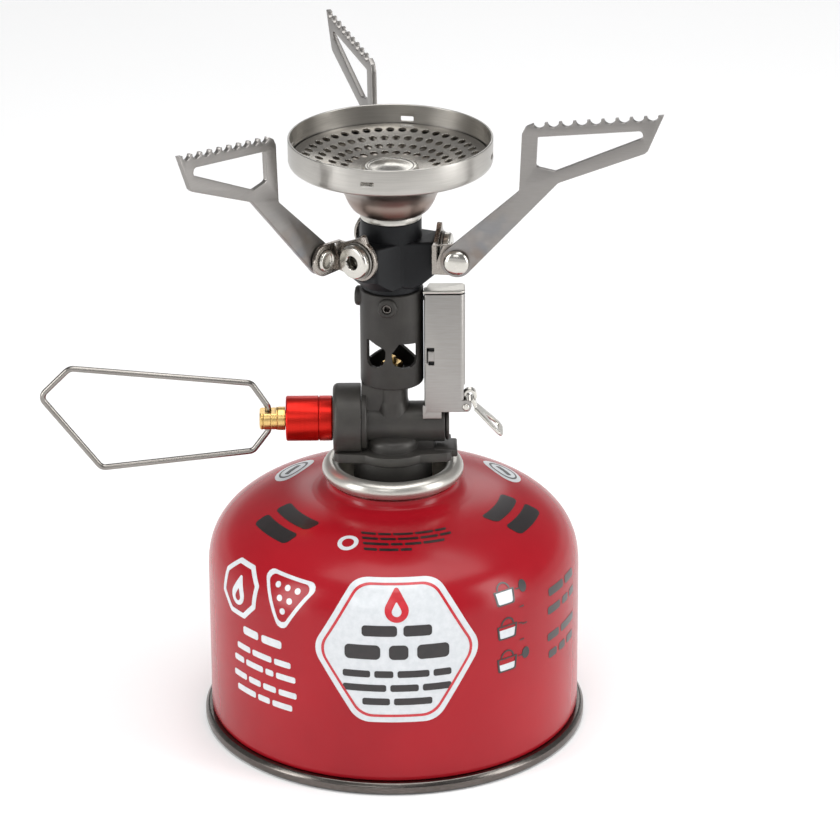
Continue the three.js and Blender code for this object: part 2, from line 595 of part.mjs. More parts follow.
// Side view of one arm: a strut from the rivet to a toothed triangular head with a window.
function armOutline() {
  const rivetAngle = [131.5, 318];
  const firstTooth = [33.5, 148.3];
  const lastTooth = [62.6, 151.6];
  const slope = Math.atan2(lastTooth[1] - firstTooth[1], lastTooth[0] - firstTooth[0]);
  const pitch = Math.hypot(lastTooth[0] - firstTooth[0], lastTooth[1] - firstTooth[1]) / (TOOTH_COUNT - 1);
  const along = (distance, depth) => [
    firstTooth[0] + distance * Math.cos(slope) + depth * Math.sin(slope),
    firstTooth[1] + distance * Math.sin(slope) - depth * Math.cos(slope),
  ];
  const land = 0.45;
  const teeth = [];
  for (let i = 0; i < TOOTH_COUNT - 1; i += 1) {
    const start = i * pitch;
    teeth.push(along(start - (i ? land : 0), 0), along(start + land, 0));
    teeth.push(along(start + pitch * 0.32, TOOTH_DEPTH), along(start + pitch * 0.68, TOOTH_DEPTH));
  }
  teeth.push(along((TOOTH_COUNT - 1) * pitch - 1, 0), lastTooth);
  const shape = outlineOf([
    ...arc(RIVET_RHO, PIVOT_Z, 3.6, rivetAngle[0], rivetAngle[1], 10),
    [39.5, 134.5], [58.3, 142.3], [59.3, 143.4], ...teeth.reverse(), [31.6, 147.4], [30.9, 146], [30.5, 132.3],
  ]);
  shape.holes.push(new THREE.Path([
    [34.5, 145.1], [34.3, 138.9], [35.2, 137.8], [38.2, 137.6], [56.6, 145.8], [57.6, 146.9], [56.9, 147.7],
  ].map(([x, y]) => new THREE.Vector2(x, y))));
  const rivetHole = arc(RIVET_RHO, PIVOT_Z, 1.75, 0, 337.5, 15);
  shape.holes.push(new THREE.Path(rivetHole.map(([x, y]) => new THREE.Vector2(x, y))));
  return shape;
}

// A swivel plate on the boss face, whose bent ear carries the arm's rivet.
function bracket() {
  const plateShape = outlineOf([
    ...arc(0, PIVOT_Z, BRACKET_RADIUS, 62, -122, 14),
    [-5.2, PIVOT_Z - 3.8], [ARM_INNER_T + FIT, PIVOT_Z - 3.7], [ARM_INNER_T + FIT, PIVOT_Z + 3.7],
    [-5.2, PIVOT_Z + 4], [0.5, PIVOT_Z + 5.6], [1.1, PIVOT_Z + 6], [1.9, PIVOT_Z + 5.8],
  ]);
  const earShape = outlineOf([
    [10.45, PIVOT_Z + 3.7], [10.45, PIVOT_Z - 3.7], ...arc(RIVET_RHO, PIVOT_Z, 3.7, -90, 90, 10),
  ]);
  const earT = ARM_INNER_T + FIT;
  return cut(
    join(plateYZ(plateShape, 10.45, 11.6), plateXZ(earShape, earT, earT + EAR_THICKNESS)),
    rodX(2.2, 9, 13, PIVOT_Z, 16),
    rodY(1.65, -9, -4, RIVET_RHO, PIVOT_Z),
  );
}

// A domed rivet: the dome lies on the arm, the hollow tail on the bracket's ear.
function rivet() {
  const domeFace = ARM_INNER_T - ARM_THICKNESS - 0.05;
  const tailFace = ARM_INNER_T + FIT + EAR_THICKNESS + 0.05;
  const dome = [[0, domeFace - 1.6], [1.3, domeFace - 1.4], [2.4, domeFace - 0.8], [3, domeFace]];
  return turned([
    ...dome, [1.5, domeFace], [1.5, tailFace], [2.5, tailFace], [2.5, tailFace + 0.3], [2.1, tailFace + 0.7],
    [1.6, tailFace + 0.7], [1, tailFace], [0, tailFace],
  ], 16).rotateX(-Math.PI / 2).translate(RIVET_RHO, 0, PIVOT_Z);
}

function pivotScrew() {
  const head = turnedX([
    [0, 6.2], [1.45, 6.2], [1.45, BOSS_FACE + 0.05], [2, BOSS_FACE + 0.05], [2, 12.3],
    [3.9, 12.3], [3.9, 13.9], [3.5, 14.3], [0, 14.3],
  ], 16, PIVOT_Z);
  return cut(head, hexSocket(3.46, 1.3, 14.3).translate(0, 0, PIVOT_Z));
}

for (const [side, azimuth] of Object.entries(SUPPORT_AZIMUTHS)) {
  const station = new THREE.Group();
  station.rotation.z = THREE.MathUtils.degToRad(azimuth);
  stove.add(station);
  const armOuter = ARM_INNER_T - ARM_THICKNESS;
  add(`${side}_support`, plateXZ(armOutline(), armOuter, ARM_INNER_T), bareSteel(), station);
  add(`${side}_bracket`, bracket(), bareSteel(), station);
  add(`${side}_rivet`, rivet(), bareSteel(), station);
  add(`${side}_pivot_screw`, pivotScrew(), bareSteel(), station);
  const washer = turnedX([[2.15, 11.7], [4.2, 11.7], [4.2, 12.2], [2.15, 12.2]], 20, PIVOT_Z);
  add(`${side}_washer`, washer, greySteel(), station);
}

// ---------------------------------------------------------------- piezo igniter

function igniterHousing() {
  const { left, right, front, back, bottom, top } = BOX;
  const wall = SHEET;
  const corner = 1.4;
  const plan = (inset) => outlineOf([
    [left + inset, front + inset], [right - corner, front + inset],
    ...arc(right - corner, front + corner, corner - inset, -90, 0, 4),
    ...arc(right - corner, back - corner, corner - inset, 0, 90, 4),
    [left + inset, back - inset],
  ]);
  const ears = block(right - 1.5, 18.1, front, back, bottom, 78.2);
  const tab = block(7, 11.35, front, front + wall, 73.8, bottom + 1);
  const body = join(plateXY(plan(0), bottom, top), ears, tab);
  return cut(
    body,
    plateXY(plan(wall), bottom - 1, top + 1),
    block(right - 3, 19, front + wall, back - wall, bottom - 1, 82),
    rodY(0.62, front - 1, back + 1, TRIGGER_PIVOT.x, TRIGGER_PIVOT.z, 12),
    block(7.95, 9.7, front - 1, front + 1, 90.5, 91.4),
    block(8.3, 9.7, front - 1, front + 1, 87.1, 88),
    rodX(0.95, 7, 9, WIRE_Z, 10).translate(0, BOX_MIDDLE_Y, 0),
    rodX(BARREL_RADIUS + 0.15, 6, BARREL_END_X + 1.3, BARREL_Z, 24),
  );
}

// Lid pressed over the open end of the housing; its left edge slants back, clear of the tube.
function igniterLid() {
  const { left, right, front, back, top } = BOX;
  const skin = plateXY(outlineOf([
    [left - 0.4, front - 0.15], [right, front - 0.15], [right, back + 0.15], [left + 1.2, back + 0.15],
  ]), top + FIT, top + FIT + SHEET);
  const plug = block(left + 0.7, right - 1.8, front + 0.7, back - 0.7, top - 0.5, top + FIT + 0.1);
  return join(skin, plug);
}

// Bent lever: an inner finger under the plunger, a knuckle on the pin and a widening thumb paddle.
function trigger() {
  const { x, z } = TRIGGER_PIVOT;
  const front = BOX.front + SHEET + 0.25;
  const back = BOX.back - SHEET - 0.25;
  const strip = outlineOf([
    [11.4, 76.1], [11.4, 76.8], [15.6, 77.1], [16.6, 78.2], [17.4, 78.6], [18.6, 78.7], [19.6, 76.1],
    [19.1, 75.7], [18.2, 77.6], [17, 75.5], [15.8, 76.2],
  ]);
  const knuckle = rodY(1.3, front, back, x, z);
  const paddlePlan = outlineOf([
    [0, -2.1], [5.5, -3.3], [7.6, -3.5], ...arc(7.4, -1.9, 1.6, -60, 0, 3), ...arc(7.4, 1.9, 1.6, 0, 60, 3),
    [7.6, 3.5], [5.5, 3.3], [0, 2.1],
  ]);
  paddlePlan.holes.push(new THREE.Path([
    [2.6, 0], [7, 2.2], [7.6, 1.7], [7.6, -1.7], [7, -2.2],
  ].map(([s, w]) => new THREE.Vector2(s, w))));
  const paddle = plateXY(paddlePlan, 0, 0.7).rotateY(THREE.MathUtils.degToRad(45.5))
    .translate(18.85, BOX_MIDDLE_Y, 75.6);
  const curl = cut(
    rodY(1.27, BOX_MIDDLE_Y - 1, BOX_MIDDLE_Y + 1, 17.9, 79.3, 14),
    rodY(0.75, front - 1, back + 1, 17.9, 79.3, 12),
  );
  const lever = join(plateXZ(strip, front, back), knuckle, paddle, curl);
  return cut(lever, rodY(0.68, front - 1, back + 1, x, z, 12));
}

// A pin with a low head at each end.
function triggerPin() {
  const front = BOX.front;
  const back = BOX.back;
  return turned([
    [0, front - 0.4], [0.85, front - 0.4], [0.85, front - 0.05], [0.55, front - 0.05], [0.55, back + 0.05],
    [0.85, back + 0.05], [0.85, back + 0.4], [0, back + 0.4],
  ], 12).rotateX(-Math.PI / 2).translate(TRIGGER_PIVOT.x, 0, TRIGGER_PIVOT.z);
}

// High-voltage lead from the piezo unit, through the tube's wall, up to the electrode.
function igniterLead() {
  const azimuth = THREE.MathUtils.degToRad(WIRE_AZIMUTH);
  const onLine = (radius) => new THREE.Vector3(radius * Math.cos(azimuth), radius * Math.sin(azimuth), WIRE_Z);
  const path = new THREE.CatmullRomCurve3([
    new THREE.Vector3(8.35, BOX_MIDDLE_Y, WIRE_Z), onLine(7), onLine(4.5),
    new THREE.Vector3(2.9, -0.6, 104.3), new THREE.Vector3(2.6, -0.5, 108), new THREE.Vector3(1.5, -0.2, 116),
    new THREE.Vector3(0.2, 0, 122), new THREE.Vector3(0, 0, 124),
  ]);
  return wire(path, 0.55, 20, 6);
}

add('igniter_housing', igniterHousing(), bareSteel());
add('igniter_lid', igniterLid(), bareSteel());
add('piezo_unit', cut(
  block(8.6, 15.9, BOX.front + 0.7, BOX.back - 0.7, 82.2, 103.6),
  block(9.9, 14.6, BOX.front + 1.2, BOX.back - 1.2, 81, 90),
), plastic());
add('piezo_plunger', block(10.1, 14.4, BOX.front + 1.4, BOX.back - 1.4, 77.2, 86.2), plastic());
add('igniter_trigger', trigger(), bareSteel());
add('trigger_pin', triggerPin(), bareSteel());
add('igniter_lead', igniterLead(), plastic());

export default stove;
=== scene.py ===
import json
import math
import random
from bisect import bisect_right

import bmesh
import bpy
from mathutils import Matrix, Vector


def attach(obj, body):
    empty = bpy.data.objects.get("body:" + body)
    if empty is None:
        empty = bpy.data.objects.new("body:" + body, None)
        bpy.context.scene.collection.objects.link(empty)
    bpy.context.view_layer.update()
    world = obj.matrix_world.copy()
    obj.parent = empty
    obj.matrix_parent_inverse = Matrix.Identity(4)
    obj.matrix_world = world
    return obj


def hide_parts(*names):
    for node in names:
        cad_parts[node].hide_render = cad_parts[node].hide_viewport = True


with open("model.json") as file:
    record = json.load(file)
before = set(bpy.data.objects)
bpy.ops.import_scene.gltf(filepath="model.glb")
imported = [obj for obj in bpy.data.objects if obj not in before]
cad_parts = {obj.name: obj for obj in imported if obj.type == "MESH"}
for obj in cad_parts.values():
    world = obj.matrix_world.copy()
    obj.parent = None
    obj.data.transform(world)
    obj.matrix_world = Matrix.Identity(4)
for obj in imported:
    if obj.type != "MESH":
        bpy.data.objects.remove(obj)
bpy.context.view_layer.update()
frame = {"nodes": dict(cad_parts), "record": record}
NODE_BODY = {node: body for body, nodes in frame["record"]["behaviour"]["bodies"].items() for node in nodes}
NODE_SLOT = {part["node"]: part["material_slot"] for part in frame["record"]["subparts"]}
MM = 0.001
random.seed(7)

# ---------- dimensions shared with the CAD part (mm)

CAN_RADIUS = 43.45
SHOULDER_Z = 35.3
DOME_RISE = 19.4
DOME_FLAT_RADIUS = 10.0
DOME_POWER = 2.54
VALVE_Z = 72.2
BARREL_Z = 71.3
HANDLE_PIVOT_X = -28.8
SUPPORT_AZIMUTHS = {"right": -9.9, "back": 110.1, "left": 230.1}
PIVOT_Z = 114.6
RIVET_RHO = 16.3
ARM_INNER_T = -6.9
LEFT, RIGHT, FRONT, BACK, BOTTOM, TOP = 7.4, 16.8, -4.75, 0.45, 75.4, 104.4  # sides of the igniter's box
BOX_MIDDLE_Y = (FRONT + BACK) / 2
TRIGGER_PIN_X, TRIGGER_PIN_Z = 16.96, 76.6
PAINTED_SHADE_REACH = 0.0009  # metres: reach of the painted shade in holes and corners


# ---------- materials

def srgb(text):
    """Linear colour of a hex colour such as b8202c."""
    channels = [int(text[i:i + 2], 16) / 255 for i in (0, 2, 4)]
    return tuple(c / 12.92 if c <= 0.04045 else ((c + 0.055) / 1.055) ** 2.4 for c in channels) + (1.0,)


class Nodes:
    """A thin helper for wiring a node material."""

    def __init__(self, name):
        self.material = bpy.data.materials.new(name)
        self.material.use_nodes = True
        self.tree = self.material.node_tree
        self.tree.nodes.clear()
        self.shader = self.add("ShaderNodeBsdfPrincipled")
        self.link(self.shader.outputs[0], self.add("ShaderNodeOutputMaterial").inputs[0])

    def link(self, source, target):
        self.tree.links.new(source, target)

    def add(self, kind, **values):
        node = self.tree.nodes.new(kind)
        for key, value in values.items():
            if key in node.inputs:
                node.inputs[key].default_value = value
            else:
                setattr(node, key, value)
        return node

    def feed(self, socket, value):
        """Sets a socket to a plain value, or links a node's output to it."""
        if isinstance(value, (int, float, tuple)):
            socket.default_value = value
        else:
            self.link(value, socket)

    def position(self, scale=(1, 1, 1)):
        """Object coordinates (metres), scaled."""
        coords = self.add("ShaderNodeTexCoord")
        mapping = self.add("ShaderNodeMapping", Scale=scale)
        self.link(coords.outputs["Object"], mapping.inputs["Vector"])
        return mapping.outputs["Vector"]

    def climb(self, low, span):
        """0 at a height in metres, 1 a span above it."""
        coords = self.add("ShaderNodeTexCoord")
        split = self.add("ShaderNodeSeparateXYZ")
        self.link(coords.outputs["Object"], split.inputs[0])
        return self.math("DIVIDE", self.math("SUBTRACT", split.outputs["Z"], low), span)

    def noise(self, scale, detail=3.0, roughness=0.55, vector=None):
        node = self.add("ShaderNodeTexNoise", Scale=scale, Detail=detail, Roughness=roughness)
        self.link(vector if vector is not None else self.position(), node.inputs["Vector"])
        return node.outputs["Fac"]

    def ramp(self, source, stops):
        """Maps a value to greys (numbers) or colours (hex)."""
        node = self.add("ShaderNodeValToRGB")
        elements = node.color_ramp.elements
        while len(elements) < len(stops):
            elements.new(0.5)
        for element, (place, colour) in zip(elements, stops):
            element.position = place
            element.color = srgb(colour) if isinstance(colour, str) else (colour, colour, colour, 1)
        self.link(source, node.inputs[0])
        return node.outputs[0]

    def mix(self, factor, a, b):
        node = self.add("ShaderNodeMix", data_type="RGBA")
        for number, value in ((0, factor), (6, a), (7, b)):
            self.feed(node.inputs[number], value)
        return node.outputs[2]

    def math(self, operation, a, b):
        node = self.add("ShaderNodeMath", operation=operation)
        self.feed(node.inputs[0], a)
        self.feed(node.inputs[1], b)
        return node.outputs[0]

    def painted_crevice_shade(self):
        """Mask of painted shade from ambient occlusion: 0 deep in holes and corners, 1 on open surfaces."""
        node = self.add("ShaderNodeAmbientOcclusion", samples=12, Distance=PAINTED_SHADE_REACH)
        return self.ramp(node.outputs["AO"], [(0.3, 0.0), (0.85, 1.0)])

    def bump(self, height, strength, distance, edge=0.0):
        """Bump from a height, over edges rounded by a radius in metres."""
        node = self.add("ShaderNodeBump", Strength=strength, Distance=distance)
        self.link(height, node.inputs["Height"])
        if edge:
            bevel = self.add("ShaderNodeBevel", samples=4, Radius=edge)
            self.link(bevel.outputs[0], node.inputs["Normal"])
        self.link(node.outputs[0], self.shader.inputs["Normal"])

    def surface(self, colour, grain, rough, spread, metallic=0.0, shine=0.5):
        """Colour, metalness, shine and a roughness that rises by a spread with the grain."""
        self.link(colour, self.shader.inputs["Base Color"])
        self.shader.inputs["Metallic"].default_value = metallic
        self.shader.inputs["Specular IOR Level"].default_value = shine
        self.link(self.math("ADD", self.math("MULTIPLY", grain, spread), rough), self.shader.inputs["Roughness"])


def brushed_metal(name, light, dark, rough, stretch, strength, metallic=1.0):
    """Metal with fine lines and painted shade in holes and corners: stretch is the noise scale on each axis, low
    along the lines.
    """
    m = Nodes(name)
    lines = m.noise(3600.0, 3.0, 0.5, m.position(stretch))
    clouds = m.noise(70.0, 3.0, 0.5)
    tone = m.math("ADD", m.math("MULTIPLY", lines, 0.55), m.math("MULTIPLY", clouds, 0.45))
    colour = m.ramp(tone, [(0.32, dark), (0.66, light)])
    # Painted shade: the colour turns near black deep in holes and corners.
    m.surface(m.mix(m.painted_crevice_shade(), srgb("1c1a19"), colour), lines, rough - 0.03, 0.06, metallic)
    m.bump(lines, strength, 0.00001, 0.00012)
    return m.material


def satin_coat(name, light, dark, rough, metallic, shine=0.5, edge=0.0002):
    """Anodised or moulded surface: fine even grain, cloudy tone, edges slightly worn."""
    m = Nodes(name)
    grains = m.noise(2600.0, 2.0, 0.6)
    clouds = m.noise(120.0, 4.0, 0.6)
    colour = m.ramp(clouds, [(0.35, dark), (0.68, light)])
    m.surface(colour, grains, rough - 0.07, 0.14, metallic, shine)
    m.bump(grains, 0.3, 0.000015, edge)
    return m.material


def tempered_steel():
    """Plain rolled steel of the supports, browned and blued in soft patches beside the fold by heat."""
    m = Nodes("tempered_steel")
    grain = m.noise(3600.0, 3.0, 0.5, m.position((0.1, 0.1, 1)))
    plain = m.ramp(grain, [(0.3, "8d8a87"), (0.7, "918e8b")])
    low = m.ramp(m.climb(0.112, 0.022), [(0.1, 1.0), (0.9, 0.0)])
    patches = m.ramp(m.noise(210.0, 2.0, 0.5), [(0.42, 0.0), (0.62, 1.0)])
    tint = m.ramp(m.noise(150.0, 1.0), [(0.4, "74645a"), (0.6, "68707b")])
    amount = m.math("MULTIPLY", m.math("MULTIPLY", low, patches), 0.6)
    m.surface(m.mix(amount, plain, tint), grain, 0.34, 0.03, 1.0)
    m.bump(grain, 0.015, 0.00001, 0.00012)
    return m.material


def red_enamel():
    """Gloss enamel over steel: faint orange peel, slightly deeper tone in broad clouds."""
    m = Nodes("red_enamel")
    clouds = m.noise(35.0, 3.0, 0.5)
    colour = m.ramp(clouds, [(0.3, "93101c"), (0.7, "a31521")])
    peel = m.noise(420.0, 2.0, 0.5)
    m.surface(colour, peel, 0.2, 0.06, shine=0.28)
    m.bump(peel, 0.05, 0.00002)
    return m.material


def red_anodised():
    """Bright anodised aluminium, turned: fine rings round X."""
    m = Nodes("red_anodised")
    rings = m.noise(4200.0, 2.0, 0.5, m.position((1, 0.02, 0.02)))
    colour = m.ramp(rings, [(0.3, "c6231b"), (0.7, "cb261e")])
    m.surface(colour, rings, 0.32, 0.02, 0.92)
    m.bump(rings, 0.01, 0.00001, 0.00015)
    return m.material


def heat_tinted_steel():
    """Steel of the burner bell: browned by the flame towards its throat, with a straw band above."""
    m = Nodes("heat_tinted_steel")
    wander = m.math("ADD", m.climb(0.1232, 0.0125), m.math("MULTIPLY", m.noise(160.0, 3.0), 0.25))
    tint = m.ramp(wander, [(0.05, "7d6d64"), (0.35, "8a7970"), (0.7, "8b837c"),
                           (1.0, "96928b")])
    rings = m.noise(1500.0, 3.0, 0.6, m.position((0.04, 0.04, 1)))
    m.surface(tint, rings, 0.26, 0.18, 1.0)
    m.bump(rings, 0.25, 0.00002)
    return m.material


def print_ink(name, light, dark):
    """Screen-printed ink: nearly flat colour with the faint mottling of a print under the same gloss."""
    m = Nodes(name)
    mottle = m.noise(700.0, 3.0, 0.6)
    m.surface(m.ramp(mottle, [(0.35, dark), (0.65, light)]), mottle, 0.3, 0.1)
    m.shader.inputs["Coat Weight"].default_value = 0.35
    m.bump(mottle, 0.05, 0.00002)
    return m.material


EVEN = (1, 1, 1)
BRUSHED = {  # light and dark tone, roughness, stretch of the lines, depth of the lines, metalness
    "bare_steel": ("cfccc5", "bfbcb5", 0.2, EVEN, 0.05),
    "satin_steel": ("c9c6bf", "bab7b0", 0.3, EVEN, 0.05, 0.8),
    "folded_steel": ("aaa49d", "8d867f", 0.27, EVEN, 0.08),
    "dark_steel": ("77726e", "5f5b57", 0.34, EVEN, 0.05),
    "wire_steel": ("9a9691", "85817c", 0.25, EVEN, 0.05),
    "seam_steel": ("726d69", "5a5652", 0.24, (0.2, 0.2, 1), 0.05),
    "brushed_steel": ("a4a19e", "9a9793", 0.36, (0.08, 0.08, 1), 0.04),
    "grey_steel": ("a5a29d", "908d88", 0.3, (0.3, 0.3, 1), 0.1),
    "brass": ("e8c684", "d6b068", 0.28, (1, 0.05, 0.05), 0.08),
    "rim_steel": ("b5b2ad", "a5a29d", 0.3, (0.04, 0.04, 1.2), 0.14),
    "port_steel": ("c9c5be", "b9b5ae", 0.25, EVEN, 0.03),
}
SATIN = {  # light and dark tone, roughness, metalness, shine, width of the worn edges
    "black_anodised": ("3a3835", "302e2c", 0.48, 0.3, 0.35),
    "valve_black": ("45433f", "3b3937", 0.43, 0.35, 0.42),
    "head_black": ("1b1c1e", "151618", 0.46, 0.1, 0.22),
    "black_rubber": ("222222", "171717", 0.75, 0.0, 0.5, 0.0001),
    "black_plastic": ("2a2a2a", "1d1d1d", 0.55, 0.0, 0.5, 0.0001),
    "ceramic": ("ece8de", "dcd6c8", 0.35, 0.0, 0.5, 0.0001),
}
INK = {"white_ink": ("d3d6d9", "c9cdd0"), "black_ink": ("1d1516", "120d0e"), "red_ink": ("c22430", "b51c28")}
MATERIALS = {"red_enamel": red_enamel(), "red_anodised": red_anodised(), "bell_steel": heat_tinted_steel(),
             "tempered_steel": tempered_steel()}
for recipe, finishes in ((brushed_metal, BRUSHED), (satin_coat, SATIN), (print_ink, INK)):
    MATERIALS.update({name: recipe(name, *values) for name, values in finishes.items()})


# ---------- mesh helpers (millimetres)

def new_object(name, data):
    obj = bpy.data.objects.new(name, data)
    bpy.context.scene.collection.objects.link(obj)
    return obj


def final_mesh(obj):
    """A new mesh of an object with its modifiers or curve settings applied."""
    return bpy.data.meshes.new_from_object(obj.evaluated_get(bpy.context.evaluated_depsgraph_get()))


def solid_from(curve, name):
    """A mesh object of a curve, which is removed."""
    drawn = new_object(name, curve)
    mesh = final_mesh(drawn)
    bpy.data.objects.remove(drawn)
    bpy.data.curves.remove(curve)
    return new_object(name, mesh)


def add_spline(curve, points, cyclic):
    spline = curve.splines.new("POLY")
    spline.points.add(len(points) - 1)
    for point, place_at in zip(spline.points, points):
        point.co = (*place_at, 1)
    spline.use_cyclic_u = cyclic


def mesh_from(name, points, faces):
    mesh = bpy.data.meshes.new(name)
    mesh.from_pydata(points, [], faces)
    mesh.update()
    return new_object(name, mesh)


def weld(obj, distance=1e-4):
    """Joins equal corners and turns all faces outwards."""
    work = bmesh.new()
    work.from_mesh(obj.data)
    bmesh.ops.remove_doubles(work, verts=work.verts, dist=distance)
    bmesh.ops.recalc_face_normals(work, faces=work.faces)
    work.to_mesh(obj.data)
    work.free()
    return obj


def transform(obj, matrix):
    obj.data.transform(matrix)
    return obj


def turn(obj, degrees, axis):
    return transform(obj, Matrix.Rotation(math.radians(degrees), 4, axis))


def turn_z(obj, degrees):
    return turn(obj, degrees, "Z")


def shift(obj, x, y, z):
    return transform(obj, Matrix.Translation((x, y, z)))


TO_X = Matrix(((0, 0, 1, 0), (0, 1, 0, 0), (-1, 0, 0, 0), (0, 0, 0, 1)))  # lathe axis Z becomes X


def arc(x, y, radius, start, end, steps):
    angles = [math.radians(start + (end - start) * i / steps) for i in range(steps + 1)]
    return [(x + radius * math.cos(a), y + radius * math.sin(a)) for a in angles]


def rounded(points, radius, closed=True, steps=4):
    """Rounds each corner. radius is one number, or a dict of corner number to radius where None is the default."""
    result = []
    count = len(points)
    for i, point in enumerate(points):
        size = radius.get(i, radius.get(None, 0)) if isinstance(radius, dict) else radius
        here = Vector(point)
        before = Vector(points[i - 1]) - here
        after = Vector(points[(i + 1) % count]) - here
        end_point = not closed and i in (0, count - 1)
        plain = size <= 0 or end_point or before.length < 1e-6 or after.length < 1e-6
        half = 0 if plain else before.angle(after) / 2
        if plain or half > math.radians(88):
            result.append(tuple(here))
            continue
        reach = min(size / math.tan(half), before.length * 0.48, after.length * 0.48)
        true_radius = reach * math.tan(half)
        start = here + before.normalized() * reach
        end = here + after.normalized() * reach
        centre = here + (before.normalized() + after.normalized()).normalized() * (true_radius / math.sin(half))
        a0 = start - centre
        a1 = end - centre
        for k in range(steps + 1):
            t = k / steps
            mixed = a0 * (1 - t) + a1 * t
            result.append(tuple(centre + mixed.normalized() * true_radius))
    return result


def rounded_run(points, radius, steps=4):
    """The same for an open run of points."""
    return rounded(points, radius, False, steps)


def smooth_through(points, steps=6):
    """A Catmull-Rom curve through an open run of points."""
    ends = [Vector(points[0]) * 2 - Vector(points[1])] + [Vector(p) for p in points]
    ends.append(Vector(points[-1]) * 2 - Vector(points[-2]))
    result = []
    for i in range(1, len(ends) - 2):
        p0, p1, p2, p3 = ends[i - 1:i + 3]
        for k in range(steps):
            t = k / steps
            result.append(tuple(0.5 * (2 * p1 + (p2 - p0) * t + (2 * p0 - 5 * p1 + 4 * p2 - p3) * t * t
                                       + (3 * p1 - p0 - 3 * p2 + p3) * t ** 3)))
    result.append(tuple(ends[-2]))
    return result


def lathe(name, profile, segments=96):
    """A closed body of revolution about Z from (radius, z) points; points on the axis become poles."""
    points, rings = [], []
    for radius, z in profile:
        if radius < 1e-6:
            rings.append([len(points)])
            points.append((0, 0, z))
            continue
        rings.append(list(range(len(points), len(points) + segments)))
        for i in range(segments):
            angle = 2 * math.pi * i / segments
            points.append((radius * math.cos(angle), radius * math.sin(angle), z))
    faces = []
    pairs = list(zip(rings, rings[1:]))
    if len(rings[0]) > 1 and len(rings[-1]) > 1:
        pairs.append((rings[-1], rings[0]))
    for a, b in pairs:
        if len(a) == 1 and len(b) == 1:
            continue
        for i in range(segments):
            j = (i + 1) % segments
            if len(a) == 1:
                faces.append((a[0], b[j], b[i]))
            elif len(b) == 1:
                faces.append((a[i], a[j], b[0]))
            else:
                faces.append((a[i], a[j], b[j], b[i]))
    return weld(mesh_from(name, points, faces), 1e-5)


def rod(radius, low, high):
    """Profile of a plain rod or drill."""
    return [(0, low), (radius, low), (radius, high), (0, high)]


def lathe_x(name, profile, segments=96, z=VALVE_Z):
    """The same about the X axis, from (radius, x) points."""
    return shift(transform(lathe(name, profile, segments), TO_X), 0, 0, z)


def lathe_y(name, profile, segments, x, z):
    """The same about a line along Y, from (radius, y) points."""
    return shift(turn(lathe(name, profile, segments), -90, "X"), x, 0, z)


def spoke(name, profile, z, azimuth):
    """The same about a level line that leaves the burner axis at an azimuth, from (radius, distance) points."""
    return turn_z(lathe_x(name, profile, 48, z), azimuth)


def plate(name, outline, holes, low, high, edge=0.15, plane="XY"):
    """A flat piece with softened edges: outline in a plane, thickness along the plane's normal."""
    curve = bpy.data.curves.new(name, "CURVE")
    curve.dimensions = "2D"
    curve.fill_mode = "BOTH"
    curve.extrude = (high - low) / 2 - edge
    curve.bevel_depth = edge
    curve.bevel_resolution = 2
    curve.offset = -edge
    for loop in [outline, *holes]:
        add_spline(curve, [(x, y, 0) for x, y in loop], True)
    obj = weld(solid_from(curve, name))
    middle = (low + high) / 2
    if plane == "XY":
        return shift(obj, 0, 0, middle)
    if plane == "XZ":
        return transform(obj, Matrix(((1, 0, 0, 0), (0, 0, -1, middle), (0, 1, 0, 0), (0, 0, 0, 1))))
    return transform(obj, Matrix(((0, 0, 1, middle), (1, 0, 0, 0), (0, 1, 0, 0), (0, 0, 0, 1))))


def combine(obj, others, operation):
    """Joins others to obj (UNION) or cuts them from it (DIFFERENCE), and removes them."""
    for other in others:
        modifier = obj.modifiers.new("combine", "BOOLEAN")
        modifier.operation = operation
        modifier.solver = "EXACT"
        modifier.object = other
    old = obj.data
    mesh = final_mesh(obj)
    obj.modifiers.clear()
    obj.data = mesh
    bpy.data.meshes.remove(old)
    for other in others:
        bpy.data.objects.remove(other)
    return weld(obj, 1e-5)


def cut(obj, *others):
    return combine(obj, others, "DIFFERENCE")


def fuse(obj, *others):
    return combine(obj, others, "UNION")


def merge(name, *objects):
    """Several closed shells in one mesh."""
    work = bmesh.new()
    for obj in objects:
        work.from_mesh(obj.data)
        bpy.data.objects.remove(obj)
    mesh = bpy.data.meshes.new(name)
    work.to_mesh(mesh)
    work.free()
    return new_object(name, mesh)


def bar(name, x0, x1, y0, y1, z0, z1, edge=0.15):
    """A rectangular bar with softened edges."""
    return plate(name, [(x0, y0), (x1, y0), (x1, y1), (x0, y1)], [], z0, z1, edge)


def tube_along(name, path, radius, sides):
    """A round wire along 3-D points."""
    curve = bpy.data.curves.new(name, "CURVE")
    curve.dimensions = "3D"
    curve.bevel_depth = radius
    curve.bevel_resolution = sides // 4
    curve.use_fill_caps = True
    add_spline(curve, path, False)
    return weld(solid_from(curve, name), 1e-5)


def finish(obj, material, sharp):
    """Scales a shape to metres, smooths it up to an angle and gives it its material."""
    transform(obj, Matrix.Scale(MM, 4))
    mesh = obj.data
    mesh.polygons.foreach_set("use_smooth", [True] * len(mesh.polygons))
    mesh.set_sharp_from_angle(angle=math.radians(sharp))
    mesh.materials.clear()
    mesh.materials.append(MATERIALS[material])


def place(obj, node, material=None, sharp=32):
    """Lets a finished shape stand for a CAD node."""
    finish(obj, material or NODE_SLOT[node], sharp)
    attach(obj, NODE_BODY[node])
    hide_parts(node)


# ---------- canister

def dome_z(radius):
    """Height of the dome's skin, a superellipse with a flat middle."""
    across = max(radius - DOME_FLAT_RADIUS, 0) / (CAN_RADIUS - DOME_FLAT_RADIUS)
    return SHOULDER_Z + DOME_RISE * max(1 - across ** DOME_POWER, 0) ** (1 / DOME_POWER)


